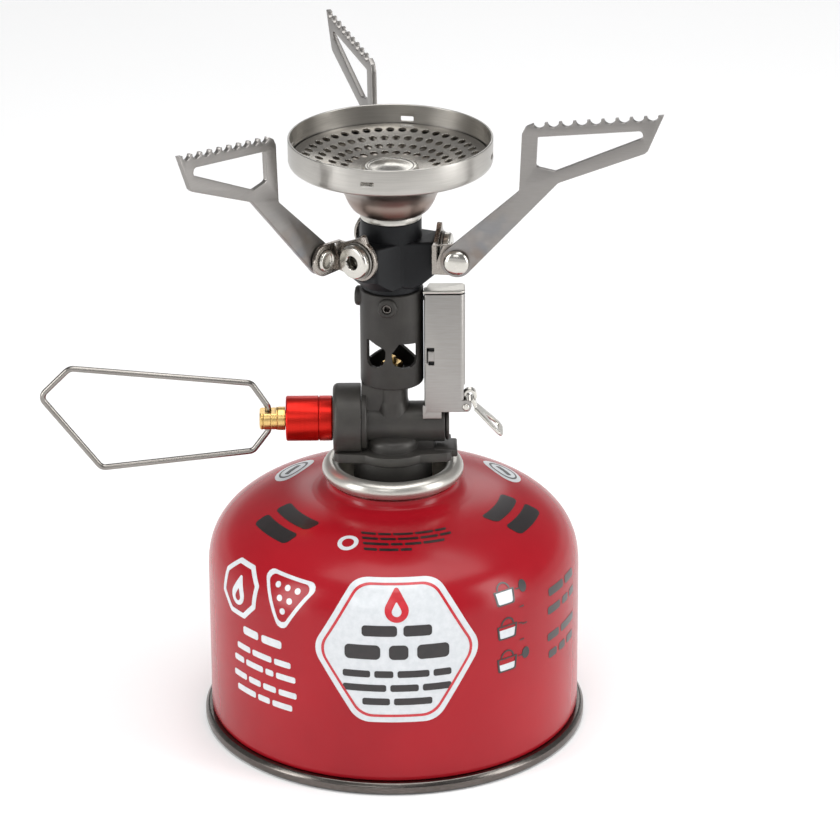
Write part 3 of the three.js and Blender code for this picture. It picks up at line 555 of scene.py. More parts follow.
def dome_profile(steps=40, mouth=14.9):
    """(radius, z) down the dome from the mouth to the shoulder."""
    points = []
    for i in range(steps + 1):
        angle = math.pi / 2 * (1 - i / steps)
        radius = DOME_FLAT_RADIUS + (CAN_RADIUS - DOME_FLAT_RADIUS) * math.cos(angle) ** (2 / DOME_POWER)
        if radius > mouth + 0.05:
            points.append((radius, dome_z(radius) if i < steps else SHOULDER_Z))
    return [(mouth, dome_z(mouth))] + points


def skin_samples():
    """The skin from the mouth down to the foot with the length walked along it."""
    line = dome_profile(160) + [(CAN_RADIUS, z) for z in range(34, 1, -1)]
    walked, samples = 0.0, []
    for i, point in enumerate(line):
        if i:
            walked += math.dist(point, line[i - 1])
        samples.append((walked, *point))
    return samples


SKIN = skin_samples()


def canister_shell():
    outer = dome_profile(mouth=19)
    inner = [(r - 0.5 * min(1, (r - 10) / 30), z - 0.5) for r, z in outer]
    inner[-1] = (CAN_RADIUS - 0.5, SHOULDER_Z)
    foot = [(CAN_RADIUS, 1.4), (CAN_RADIUS - 0.12, 0.6), (CAN_RADIUS - 0.4, 0.05)]
    mouth = outer[0][1]
    neck = [(13.65, 57.2)]
    neck += smooth_through([(14.6, 57.2), (14.75, 56.2), (15.4, 55.3), (17, 54.75), (19, mouth)], 6)[:-1]
    outline = neck + outer + foot + [(CAN_RADIUS - 0.9, 0.05), (CAN_RADIUS - 0.5, 1.4)] + inner[::-1]
    outline += [(15.6, mouth - 0.4), (14, mouth + 0.8), (13.65, mouth + 1.4)]
    return lathe("canister_shell_skin", outline, 256)


def canister_base():
    outline = rounded_run([
        (36, 0), (37.2, -0.9), (39.6, -0.9), (41, 0), (41.6, -0.6), (42.4, -2.5), (42.9, -3), (44.3, -3),
        (45, -2.4), (45, -0.9), (44.3, -0.05), (42.5, -0.05), (41.4, 0.5), (39.6, -0.3), (37.2, -0.3), (36, 0.6),
    ], {None: 0.25, 7: 0.6, 8: 0.6, 9: 0.8, 10: 0.6})
    return lathe("canister_base_skin", [(0, 0)] + outline + [(0, 0.6)], 256)


def valve_cup():
    outline = [(3.4, 50.9), (12.8, 50.9), (13.3, 51.5), (13.3, 57.6)]
    outline += arc(14.4, 59.85, 2.08, -115, 180, 32)
    outline += rounded_run([
        (12.32, 59.85), (12.4, 58), (12.4, 52.2), (11.9, 51.6), (9.4, 51.6), (9, 52), (8.2, 52), (7.8, 51.6),
        (5.85, 51.6), (5.55, 52), (5.55, 60.1), (5.15, 60.5), (2.2, 60.5),
    ], 0.3)[1:]
    outline += [(2.2, 58.1), (3.4, 58.1)]
    return lathe("valve_cup_skin", outline, 160)


place(canister_shell(), "canister_shell", sharp=40)
place(canister_base(), "canister_base", "seam_steel")
place(valve_cup(), "valve_cup", "satin_steel")


# ---------- valve body, regulator and control

def flange():
    """Oval plate under the barrel: straight ends with a round bulge in the middle of each long side."""
    bulge, half = 9.45, 6.2
    reach = math.degrees(math.acos(half / bulge)) * 0.86
    outline = [(12.6, -half), (13.6, -half + 1), (13.6, half - 1), (12.6, half)]
    outline += arc(0, 0, bulge, 90 - reach, 90 + reach, 24)
    outline += [(-12.6, half), (-13.6, half - 1), (-13.6, 1 - half), (-12.6, -half)]
    outline += arc(0, 0, bulge, -90 - reach, -90 + reach, 24)
    return plate("flange", rounded(outline, 0.5), [], 63.5, 65.7, 0.22)


def valve_body():
    body = lathe_x("valve_body_skin", rounded_run(rod(4.75, -7.1, 12.1), {2: 0.35}), 128, BARREL_Z)
    step = lathe_x("step", rounded_run(rod(7.4, -7.2, -6.0), {2: 0.5}), 128)
    boss = shift(lathe("boss", [(0, 64), (6, 64), (6, 66.9)] + arc(4.6, 67.1, 1.4, 0, 80, 6)
                       + smooth_through([(4.4, 68.65), (2.6, 68.95), (0.0, 69.05)], 5), 96), 0, -1, 0)
    flare = smooth_through([(4.3, 74.5), (3.95, 76), (3.65, 77.2), (3.6, 79.0)], 6)
    neck = lathe("neck", [(0, 71.5), (4.3, 71.5)] + flare + [(3.6, 81.7), (2.8, 81.7), (2.8, 85), (0, 85)], 96)
    web = bar("web", -7.15, -0.5, -2.8, 2.8, 70.5, 81.65, 0.5)
    foot = bar("foot", -6.8, 9.5, -2.9, 2.9, 64.5, 71.3, 0.5)
    ledge = bar("ledge", 9.5, 15, -4.5, 2.8, 63.9, 65.95, 0.75)
    fuse(body, step, boss, neck, web, foot, ledge, flange())
    saddle = lathe_x("saddle", rod(8.3, -16, -7.25), 128)
    bore = lathe_x("bore", rod(2.5, 2, 14), 48)
    return cut(body, saddle, bore)


def barrel_plug():
    disc = lathe_x("barrel_plug_skin", rounded_run([
        (0, 12.13), (3.9, 12.13), (3.98, 12.3), (4.15, 12.3), (4.4, 12.5), (4.4, 12.9), (4.15, 13.1), (1.4, 13.1),
        (0.9, 12.8), (0, 12.75),
    ], 0.12), 96, BARREL_Z)
    spigot = lathe_x("spigot", rod(2.4, 9.6, 12.5), 64)
    return fuse(disc, spigot)


def gland_nut():
    outline = rounded([
        (2, -12.6), (3, -12.6), (3, -13.9), (5.25, -13.9), (5.25, -16.92), (4.98, -17.0), (4.98, -17.1),
        (5.25, -17.18), (5.25, -24.7), (3.4, -24.7), (3, -24.3), (3, -22.8), (2, -22.8),
    ], {8: 0.45, 3: 0.3})
    return lathe_x("gland_nut_skin", outline, 128)


def control_stem():
    grooves = []
    for x in (-29.9, -28.2, -26.6):
        grooves += [(2.75, x - 0.14), (2.64, x - 0.05), (2.64, x + 0.05), (2.75, x + 0.14)]
    outline = [(0, -30.8), (2.35, -30.8), (2.75, -30.4)] + grooves + [
        (2.75, -24.9), (1.9, -24.9), (1.9, -20.2), (1.1, -20.2), (1.1, -18.9), (1.9, -18.9), (1.9, -13),
        (1.2, -13), (1.2, -12.35), (0, -12.35)]
    stem = lathe_x("control_stem_skin", outline, 96)
    upper = bar("upper", -33, -26.9, -4, 4, VALVE_Z + 1.95, VALVE_Z + 5, 0.05)
    lower = bar("lower", -33, -26.9, -4, 4, VALVE_Z - 5, VALVE_Z - 1.95, 0.05)
    hole = shift(lathe("hole", rod(0.75, 68, 76), 32), HANDLE_PIVOT_X, 0, 0)
    return cut(stem, upper, lower, hole)


def wire_handle():
    corners = [
        (HANDLE_PIVOT_X, 72.5), (HANDLE_PIVOT_X, 75.2), (-32.6, 81.1), (-74.5, 85.1), (-81.5, 78.1),
        (-67.8, 60.1), (-32.5, 64.1), (HANDLE_PIVOT_X, 69.2), (HANDLE_PIVOT_X, 71.9),
    ]
    bends = {1: 1.5, 2: 2.0, 3: 2.6, 4: 2.0, 5: 1.9, 6: 2.0, 7: 1.5}
    path = rounded_run(corners, bends, steps=7)
    return tube_along("wire_handle_skin", [(x, 0, z) for x, z in path], 0.7, 24)


place(valve_body(), "valve_body", "valve_black")
place(lathe("connector_collar_skin", rounded([
    (5.8, 53), (9.1, 53), (9.1, 63.4), (1.65, 63.4), (1.65, 62.3), (5.8, 62.3)], {1: 0.5, 2: 0.15}), 160),
    "connector_collar")
place(barrel_plug(), "barrel_plug", "valve_black")
place(lathe_x("regulator_cap_skin", rounded([
    (3.1, -13.8), (8.15, -13.8), (8.15, -7.3), (6.9, -7.3), (6.9, -12.4), (3.1, -12.4),
], {1: 1.3, 2: 0.25}, steps=8), 160), "regulator_cap", "valve_black")
place(gland_nut(), "gland_nut")
place(control_stem(), "control_stem")
place(wire_handle(), "wire_handle", "wire_steel", sharp=60)


# ---------- jet, mixer tube, head and burner

AIR_WINDOWS = {
    -125: [(-2.1, 93.7), (-1.4, 93.8), (2.5, 92.1), (2.9, 91.4), (2.75, 89.5), (2.3, 88.3), (1.6, 87.6),
           (0.4, 87.15), (-1, 87.2), (-1.9, 87.9), (-2.15, 89)],
    -66: [(-1.4, 93.3), (3.3, 92.7), (3.5, 92), (3.5, 89.3), (2.9, 87.8), (1.5, 87.05), (-0.5, 87.1),
          (-2.1, 87.75), (-2.9, 88.9), (-3, 91)],
}
FAR_OPENINGS = {
    -125: [(-3.2, 89.6), (-2.7, 88.4), (0, 86.6), (1.9, 85.7), (2.9, 85.6), (2.9, 93), (-3.2, 93)],
    -66: [(-3.2, 85.7), (-2.4, 85.6), (1.2, 87), (2, 88.5), (2, 93), (-3.2, 93)],
}
SET_SCREWS = {"front": -97.7, "left": 172.3, "back": 82.3}
SET_SCREW_Z = 102.3


def fuel_jet():
    base = lathe("fuel_jet_skin", rod(1.1, 82.4, 84.6), 48)
    hexagon = lathe("hexagon", [(0, 84.3), (2.2, 84.3), (2.5, 84.5), (2.5, 86.0), (2.2, 86.3), (0, 86.3)], 6)
    nose = lathe("nose", [(0, 86.1), (1.1, 86.1), (0.8, 87.6), (0.25, 87.6), (0.2, 87.2), (0, 87.2)], 48)
    return fuse(base, hexagon, nose)


def mixer_tube():
    tube = lathe("mixer_tube_skin", rounded([
        (2.95, 81.8), (7.3, 81.8), (7.3, 104.9), (5.6, 104.9), (5.6, 96.5), (6.45, 95.2), (6.45, 83.4),
        (2.95, 83.4),
    ], {1: 0.55, 2: 0.3}), 160)
    lugs = [spoke("lug", rounded_run(rod(2.3, 6.2, 8.4), {2: 0.7}, steps=6),
                  SET_SCREW_Z, azimuth) for azimuth in SET_SCREWS.values()]
    fuse(tube, *lugs)
    windows = [turn_z(plate("window", rounded(outline, 0.5), [], -10, 10, 0.05, "YZ"), azimuth)
               for azimuth, outline in AIR_WINDOWS.items()]
    windows += [turn_z(plate("far_window", rounded(outline, 0.4), [], -10, -3, 0.05, "YZ"), azimuth)
                for azimuth, outline in FAR_OPENINGS.items()]
    holes = [spoke("hole", rod(1.2, 5, 9), SET_SCREW_Z, azimuth)
             for azimuth in SET_SCREWS.values()]
    return cut(tube, *windows, *holes)


def socket(across_corners, depth, face, z, azimuth):
    """A hexagonal recess cutter, a flat side up."""
    radius = across_corners / 2
    cutter = lathe_x("socket", rod(radius, face - depth, face + 1), 6, 0)
    return turn_z(shift(turn(cutter, 30, "X"), 0, 0, z), azimuth)


def set_screw(side, azimuth):
    screw = spoke(f"{side}_set_screw_skin", rounded_run(rod(1.12, 5.6, 8.2), {2: 0.22}), SET_SCREW_Z, azimuth)
    return cut(screw, socket(1.6, 1.5, 8.2, SET_SCREW_Z, azimuth))


def head_casting():
    head = lathe("head_casting_skin", rounded([
        (4.4, 98.6), (5.5, 98.6), (5.5, 105), (6.6, 105), (6.75, 105.2), (6.75, 106.8), (7, 107.1),
        (7, 121.9), (5.05, 121.9), (5.05, 116), (4.4, 116),
    ], {7: 0.25}), 160)
    outline = rounded([(10.35, -4.2), (10.35, 4.2), (3.8, 5.85), (3.8, -5.85)], {0: 0.9, 1: 0.9}, steps=6)
    bosses = [turn_z(plate("boss", outline, [], 106.3, 117.5, 0.7), azimuth)
              for azimuth in SUPPORT_AZIMUTHS.values()]
    fuse(head, *bosses)
    slope = lathe("slope", [(7.02, 104), (12, 104), (12, 110.4), (7.02, 105.8)], 128)
    core = lathe("core", [(0, 98), (4.4, 98), (4.4, 116.1), (5.05, 116.1), (5.05, 123), (0, 123)], 96)
    taps = [spoke("tap", rod(1.6, 5, 12), PIVOT_Z, azimuth)
            for azimuth in SUPPORT_AZIMUTHS.values()]
    return cut(head, slope, core, *taps)


BELL_OUTER = [(8.3, 123.9), (8.95, 124.5), (9.6, 125.5), (10.1, 126.5), (10.9, 128.3), (12.6, 130.4), (15.5, 132.3),
              (19.5, 133.9), (21.3, 134.8)]
BELL_INNER = [(20.9, 135.4), (19.3, 134.4), (15.2, 132.8), (12.2, 130.8), (10.4, 128.5), (8.95, 125.5), (8, 124.4)]


def burner_bell():
    outline = [(4.85, 116.5), (4.85, 123.5), (7.3, 123.5)] + smooth_through(BELL_OUTER, 6) + [(21.3, 135.4)]
    outline += smooth_through(BELL_INNER, 6) + [(7.2, 124), (4.5, 124), (4.5, 116.5)]
    return lathe("burner_bell_skin", outline, 192)


def burner_rim():
    outline = smooth_through([(21.4, 134.4), (22.3, 134.6), (22.95, 135.1), (23.24, 135.85)], 6)
    outline += rounded_run([(23.24, 136.5), (23.24, 141), (22.74, 141), (22.74, 136)], 0.18)
    outline += smooth_through([(22.6, 135.6), (22.2, 135.15), (21.4, 134.95)], 4)
    rim = lathe("burner_rim_skin", outline, 256)
    slots = [turn_z(bar("slot", 20, 26, -1.5, 1.5, 137, 138.2, 0.2), azimuth)
             for azimuth in (-103, -9.9, 80.1, 170.1)]
    return cut(rim, *slots)


PORT_ROWS = [(19.4, 44), (16.4, 38), (13.4, 32), (10.7, 26)]


def burner_plate():
    upper = smooth_through([(5.6, 133.2), (8, 133.2), (10.8, 133.5), (13.8, 134.3), (17, 135.3), (20.3, 136.3),
                            (22.4, 136.5)], 5)
    lower = [(r, z - 0.5) for r, z in upper]
    dish = lathe("burner_plate_skin", lower + upper[::-1], 192)
    drills = []
    for radius, count in PORT_ROWS:
        for i in range(count):
            drill = lathe("drill", rod(0.94, 131, 138), 14)
            drills.append(turn_z(shift(drill, radius, 0, 0), 360 * i / count))
    return cut(dish, merge("drills", *drills))


def burner_cap():
    outline = [(0, 133.8), (5.2, 133.7), (6.1, 133.3), (6.35, 133.35)] + smooth_through(
        [(6.35, 133.7), (6.1, 134.05), (5.5, 134.2), (4.9, 134.05), (3.6, 134.15), (1.6, 134.42), (0.0, 134.5)], 5)
    return lathe("burner_cap_skin", outline, 128)


place(fuel_jet(), "fuel_jet")
place(mixer_tube(), "mixer_tube")
for side, azimuth in SET_SCREWS.items():
    place(set_screw(side, azimuth), f"{side}_set_screw", "dark_steel")
place(head_casting(), "head_casting")
place(lathe("throat_ring_skin", rounded([
    (5.3, 121.95), (7.05, 121.95), (7.12, 122.6), (7.05, 123.4), (5.3, 123.4),
], 0.2), 160), "throat_ring", "satin_steel")
place(burner_bell(), "burner_bell", "bell_steel", sharp=50)
place(burner_rim(), "burner_rim", "rim_steel")
place(burner_plate(), "burner_plate", "port_steel")
place(burner_cap(), "burner_cap", sharp=50)


# ---------- pot supports

NOTCH_COUNT = 9
NOTCH_PITCH = 3.18
NOTCH_DEPTH = 1.2
NOTCH_STEPS = 10
TOOTH_LAND = 0.3  # half the flat between two notches


def support_outline():
    """Outline and openings of an arm in its own plane, as (distance from the axis, z)."""
    first, last = (33.3, 148.4), (62.7, 151.8)
    slope = math.atan2(last[1] - first[1], last[0] - first[0])

    def along(distance, depth):
        return (first[0] + distance * math.cos(slope) + depth * math.sin(slope),
                first[1] + distance * math.sin(slope) - depth * math.cos(slope))

    teeth = []
    for i in range(NOTCH_COUNT):
        middle, half = (i + 0.5) * NOTCH_PITCH, NOTCH_PITCH / 2 - TOOTH_LAND
        for k in range(NOTCH_STEPS + 1):
            across = math.cos(math.pi * k / NOTCH_STEPS)
            teeth.append(along(middle - half * across, NOTCH_DEPTH * max(1 - across * across, 0) ** 0.5))
    teeth.append(last)
    outline = arc(RIVET_RHO, PIVOT_Z, 3.6, 131.5, 318, 30)
    outline += rounded_run([outline[-1], (39.3, 134.8), (58.6, 142.7), (59.3, 143.4), last],
                           {1: 1.5, 2: 0.5, 3: 0.5})[1:-1]
    outline += teeth[::-1]
    outline += rounded_run([teeth[0], (31.9, 147.6), (31.1, 146), (30.5, 132.4), outline[0]],
                           {1: 1.2, 2: 1.2, 3: 1.2})[1:-1]
    window = rounded([(34.6, 145.4), (34.3, 138.6), (35.0, 138.2), (38.6, 137.5), (58.3, 146.4), (57.9, 148.0)],
                     {0: 0.4, 1: 0.4, 2: 0.4, 3: 0.8, 4: 0.8, 5: 0.8})
    return outline, [window, arc(RIVET_RHO, PIVOT_Z, 1.75, 0, 345, 23)]


def bracket_skin(side):
    face = arc(0, PIVOT_Z, 4.9, 62, -122, 40)
    face += rounded_run([face[-1], (-5.2, PIVOT_Z - 3.8), (-6.8, PIVOT_Z - 3.7)], {1: 0.8})[1:]
    face += rounded_run([(-6.8, PIVOT_Z + 3.2), (-4.6, PIVOT_Z + 3.2), (-0.2, PIVOT_Z + 5.1), (0.9, PIVOT_Z + 6.1),
                     (1.7, PIVOT_Z + 5.9), face[0]], {1: 1.2, 2: 0.6, 3: 0.3, 4: 0.3})[:-1]
    disc = plate(f"{side}_bracket_skin", face, [arc(0, PIVOT_Z, 2.2, 0, 348, 29)], 10.45, 11.6, 0.14, "YZ")
    ear_outline = [(10.45, PIVOT_Z + 3.2), (13, PIVOT_Z + 3.2), (10.45, PIVOT_Z - 3.7)]
    ear_outline += arc(RIVET_RHO, PIVOT_Z, 3.7, -90, 90, 30)
    ear = plate("ear", ear_outline, [arc(RIVET_RHO, PIVOT_Z, 1.65, 0, 345, 23)],
                ARM_INNER_T + 0.1, ARM_INNER_T + 1.2, 0.14, "XZ")
    return fuse(disc, ear)


def rivet_skin(side):
    dome_face = ARM_INNER_T - 1.25
    tail = ARM_INNER_T + 1.25
    profile = [(0, dome_face - 1.6)]
    profile += [(3 * math.sin(math.radians(a)), dome_face - 1.6 * math.cos(math.radians(a)) ** 0.8)
                for a in range(8, 89, 8)]
    profile += [(3, dome_face), (1.5, dome_face), (1.5, tail), (2.5, tail)]
    profile += arc(2.05, tail + 0.3, 0.45, 0, 180, 8) + [(1.1, tail + 0.05), (0, tail)]
    return lathe_y(f"{side}_rivet_skin", profile, 64, RIVET_RHO, PIVOT_Z)


def pivot_screw_skin(side):
    body = lathe_x(f"{side}_pivot_screw_skin", rounded_run([
        (0, 6.2), (1.45, 6.2), (1.45, 10.4), (2, 10.4), (2, 12.3), (3.9, 12.3), (3.9, 13.95), (0, 13.95),
    ], {5: 0.15, 6: 0.6}), 96, PIVOT_Z)
    rim = lathe_x("rim", [(0, 13.7), (1.5, 13.7), (1.95, 14.2), (0, 14.2)], 48, PIVOT_Z)
    return cut(body, rim, socket(3.5, 1.4, 13.95, PIVOT_Z, 0))


for side, azimuth in SUPPORT_AZIMUTHS.items():
    outline, holes = support_outline()
    blade = plate(f"{side}_support_skin", outline, holes, ARM_INNER_T - 1.2, ARM_INNER_T, 0.14, "XZ")
    washer = lathe_x(f"{side}_washer_skin", rounded([(2.15, 11.7), (4.2, 11.7), (4.2, 12.2), (2.15, 12.2)], 0.12),
                     96, PIVOT_Z)
    for obj, node, material in (
            (blade, "support", "tempered_steel"), (bracket_skin(side), "bracket", "folded_steel"),
            (rivet_skin(side), "rivet", None), (pivot_screw_skin(side), "pivot_screw", None),
            (washer, "washer", None)):
        place(turn_z(obj, azimuth), f"{side}_{node}", material)


# ---------- igniter

def box_outline(inset):
    corners = [(LEFT + inset, FRONT + inset), (RIGHT - inset, FRONT + inset), (RIGHT - inset, BACK - inset),
               (LEFT + inset, BACK - inset)]
    return rounded(corners, {0: 0.55, 3: 0.55, 1: 1.4 - inset, 2: 1.4 - inset}, steps=8)


def igniter_housing():
    shell = plate("igniter_housing_skin", box_outline(0), [], BOTTOM, TOP, 0.12)
    ear_outline = rounded([(RIGHT - 2, 75.4), (18.1, 75.4), (18.1, 78.2), (RIGHT - 2, 78.2)], {1: 1.0, 2: 0.8})
    ear = plate("ear", ear_outline, [], FRONT, BACK, 0.1, "XZ")
    tab = bar("tab", 7.0, 11.3, FRONT + 0.03, FRONT + 0.47, 73.8, 77, 0.08)
    tongue = bar("tongue", 8.35, 9.6, FRONT - 0.12, FRONT + 0.3, 88.12, 90.4, 0.08)
    fuse(shell, ear, tab, tongue)
    hollow = plate("hollow", box_outline(0.5), [], BOTTOM - 1, TOP + 1, 0.05)
    mouth = bar("mouth", RIGHT - 3, 19, FRONT + 0.5, BACK - 0.5, BOTTOM - 1, 82, 0.05)
    pin = lathe_y("pin", rod(0.62, -6, 6), 32, TRIGGER_PIN_X, TRIGGER_PIN_Z)
    slots = [bar("slot", 7.95, 9.7, FRONT - 1, FRONT + 1, 90.48, 91.42, 0.12),
             bar("slot", 8.3, 9.7, FRONT - 1, FRONT + 1, 87.1, 88.05, 0.12),
             bar("slot", 7.92, 8.22, FRONT - 1, FRONT + 1, 87.6, 91, 0.04)]
    lead = lathe_x("lead", rod(0.95, 7, 9), 32, 102.6)
    shift(lead, 0, BOX_MIDDLE_Y, 0)
    barrel = lathe_x("barrel", rod(4.9, 6, 13.4), 96, BARREL_Z)
    return cut(shell, hollow, mouth, pin, *slots, lead, barrel)


def igniter_lid():
    plan = rounded([(7.0, FRONT - 0.15), (RIGHT, FRONT - 0.15), (RIGHT, BACK + 0.15), (8.6, BACK + 0.15)],
                   {0: 0.3, 1: 1.3, 2: 1.3, 3: 0.4}, steps=8)
    skin = plate("igniter_lid_skin", plan, [], TOP + 0.28, TOP + 0.95, 0.22)
    plug = plate("plug", box_outline(0.75), [], TOP - 0.5, TOP + 0.5, 0.05)
    return fuse(skin, plug)


def rod_y(name, radius, low, high, x, z):
    return lathe_y(name, rounded_run(rod(radius, low, high), 0.12), 48, x, z)


def igniter_trigger():
    """Sprung strip round the pin, with a curl and a slotted paddle that slopes down to the right."""
    front, back = FRONT + 0.75, BACK - 0.75
    strip = plate("igniter_trigger_skin", rounded([
        (11.4, 76.1), (11.4, 76.8), (15.6, 77.1), (16.6, 78.2), (17.4, 78.6), (18.6, 78.7), (19.6, 76.1),
        (19.1, 75.7), (18.2, 77.6), (17, 75.5), (15.8, 76.2)], 0.25), [], front, back, 0.08, "XZ")
    outline = [(0, -2.1), (5.5, -3.3)] + arc(7.4, -1.9, 1.6, -80, 0, 8)
    outline += arc(7.4, 1.9, 1.6, 0, 80, 8) + [(5.5, 3.3), (0, 2.1)]
    slot = rounded([(2.6, 0), (7.0, 2.3), (7.7, 1.7), (7.7, -1.7), (7.0, -2.3)], 0.3)
    paddle = plate("paddle", outline, [slot], 0, 0.7, 0.14)
    shift(turn(paddle, 45.5, "Y"), 18.85, BOX_MIDDLE_Y, 75.6)
    knuckle = rod_y("knuckle", 1.3, front, back, TRIGGER_PIN_X, TRIGGER_PIN_Z)
    curl = rod_y("curl", 1.6, BOX_MIDDLE_Y - 1, BOX_MIDDLE_Y + 1, 17.9, 78.7)
    lever = fuse(strip, knuckle, paddle, curl)
    return cut(lever, rod_y("eye", 0.9, front - 1, back + 1, 17.9, 78.8),
               rod_y("pin", 0.68, front - 1, back + 1, TRIGGER_PIN_X, TRIGGER_PIN_Z))


def trigger_pin():
    profile = [(0, FRONT - 0.45)] + arc(0.45, FRONT - 0.05, 0.4, -90, -5, 5)
    profile += [(0.85, FRONT - 0.05), (0.55, FRONT - 0.05), (0.55, BACK + 0.05), (0.85, BACK + 0.05)]
    profile += arc(0.45, BACK + 0.05, 0.4, 5, 90, 5) + [(0, BACK + 0.45)]
    return lathe_y("trigger_pin_skin", profile, 40, TRIGGER_PIN_X, TRIGGER_PIN_Z)


place(igniter_housing(), "igniter_housing")
place(igniter_lid(), "igniter_lid", "satin_steel")
place(igniter_trigger(), "igniter_trigger")
place(trigger_pin(), "trigger_pin")

# Inner pieces keep their CAD shape and take the procedural finish of their slot.
for node, obj in frame["nodes"].items():
    if obj.hide_render:
        continue
    obj.data.materials.clear()
    obj.data.materials.append(MATERIALS[NODE_SLOT[node]])


# ---------- printed graphics on the canister

INK_LOW, INK_HIGH = 0.015, 0.06  # bottom and top of a film above the skin
INK_LAYER = 0.05  # rise from one film to the one printed over it
FILM_MESH = 1.4  # a film is cut into squares of this side before it is bent


def skin_at(walked):
    """(radius, z, slope) of the skin at a length walked down from the mouth."""
    walked = min(max(walked, 0.0), SKIN[-1][0] - 1e-6)
    upper = bisect_right(SKIN, (walked, math.inf, math.inf))
    (w0, r0, z0), (w1, r1, z1) = SKIN[upper - 1], SKIN[upper]
    t = (walked - w0) / (w1 - w0)
    return r0 + (r1 - r0) * t, z0 + (z1 - z0) * t, math.atan2(z0 - z1, r1 - r0)


def down_to(z=None, radius=None):
    """Length walked down the skin to a height on the wall or a radius on the dome."""
    for (w0, r0, z0), (w1, r1, z1) in zip(SKIN, SKIN[1:]):
        if z is not None and z1 <= z <= z0 and z0 > z1:
            return w0 + (w1 - w0) * (z0 - z) / (z0 - z1)
        if radius is not None and r0 <= radius <= r1 and r1 > r0:
            return w0 + (w1 - w0) * (radius - r0) / (r1 - r0)
    raise ValueError("the skin does not reach there")


def print_on_skin(name, shapes, azimuth, walked, ink, turn=0.0, level=0):
    """Wraps flat shapes, drawn in mm with x right and y up, onto the skin as thin closed films."""
    films = [plate("film", outline, holes, 0, 1, 0) for outline, holes in shapes]
    film = merge(name, *films)
    turn_z(film, turn)
    work = bmesh.new()
    work.from_mesh(film.data)
    for axis in (0, 1):
        values = [v.co[axis] for v in work.verts]
        for k in range(math.ceil(min(values) / FILM_MESH), math.floor(max(values) / FILM_MESH) + 1):
            normal = (1, 0, 0) if axis == 0 else (0, 1, 0)
            bmesh.ops.bisect_plane(work, geom=work.verts[:] + work.edges[:] + work.faces[:],
                                   plane_co=[c * k * FILM_MESH for c in normal], plane_no=normal, dist=1e-4)
    low, high = INK_LOW + level * INK_LAYER, INK_HIGH + level * INK_LAYER
    for v in work.verts:
        radius, z, slope = skin_at(walked - v.co.y)
        rise = low + (high - low) * v.co.z
        angle = math.radians(azimuth) + v.co.x / radius
        radius += rise * math.sin(slope)
        v.co = (radius * math.cos(angle), radius * math.sin(angle), z + rise * math.cos(slope))
    bmesh.ops.recalc_face_normals(work, faces=work.faces)
    work.to_mesh(film.data)
    work.free()
    finish(film, ink, 40)
    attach(film, "canister")


def inset(outline, width):
    """A convex outline shrunk about its middle so that its nearest side moves in by a width."""
    middle = sum((Vector(point) for point in outline), Vector((0, 0))) / len(outline)
    nearest = 1e9
    for i, here in enumerate(outline):
        side = Vector(here) - Vector(outline[i - 1])
        if side.length > 1e-6:
            nearest = min(nearest, abs((middle - Vector(here)).cross(side)) / side.length)
    scale = 1 - width / nearest
    return [tuple(middle + (Vector(point) - middle) * scale) for point in outline]


def ring_of(outline, width):
    """A closed line of a width along the inside of a convex outline."""
    return outline, [inset(outline, width)]


def ellipse(x, y, a, b, steps=40):
    angles = [2 * math.pi * i / steps for i in range(steps)]
    return [(x + a * math.cos(angle), y + b * math.sin(angle)) for angle in angles]


def stroke(x, y, width, height):
    """A plain bar with rounded ends."""
    w, h = width / 2, height / 2
    return rounded([(x - w, y - h), (x + w, y - h), (x + w, y + h), (x - w, y + h)], h * 0.6)


def bar_row(x, y, width, height, pieces):
    """A row of plain bars of uneven lengths."""
    shares = [0.6 + random.random() for _ in range(pieces)]
    gap = height * 0.55
    room = width - gap * (pieces - 1)
    shapes, left = [], x - width / 2
    for share in shares:
        length = room * share / sum(shares)
        shapes.append((stroke(left + length / 2, y, length, height), []))
        left += length + gap
    return shapes


def droplet(x, y, size):
    """A plain drop, point up."""
    points = [(x, y + size)]
    points += [(x + 0.62 * size * math.cos(a), y - 0.35 * size + 0.62 * size * math.sin(a))
               for a in [math.radians(25 - 230 * k / 22) for k in range(23)]]
    return rounded(points, {0: 0.12 * size, None: 0})


def badge():
    outline = rounded([(-9.2, 17.5), (9.2, 17.5), (20, -0.6), (9.2, -18), (-9.2, -18), (-20, -0.6)], 5.6, steps=8)
    walked = down_to(z=33.2)
    azimuth = -89.2
    print_on_skin("badge_panel", [(outline, [])], azimuth, walked, "white_ink")
    line = inset(outline, 1.3)
    print_on_skin("badge_keyline", [ring_of(line, 0.6)], azimuth, walked, "red_ink", level=1)
    drop = (droplet(0, 11.2, 4.4), [droplet(0, 10.0, 1.8)])
    print_on_skin("badge_drop", [drop], azimuth, walked, "red_ink", level=1)
    bars = bar_row(0, 4.9, 16, 2.6, 2) + bar_row(0, -0.4, 24, 3.6, 3)
    for y, width, pieces in ((-5.9, 25, 4), (-9.4, 25, 3), (-12.8, 16, 2)):
        bars += bar_row(0, y, width, 1.7, pieces)
    print_on_skin("badge_bars", bars, azimuth, walked, "black_ink", level=1)


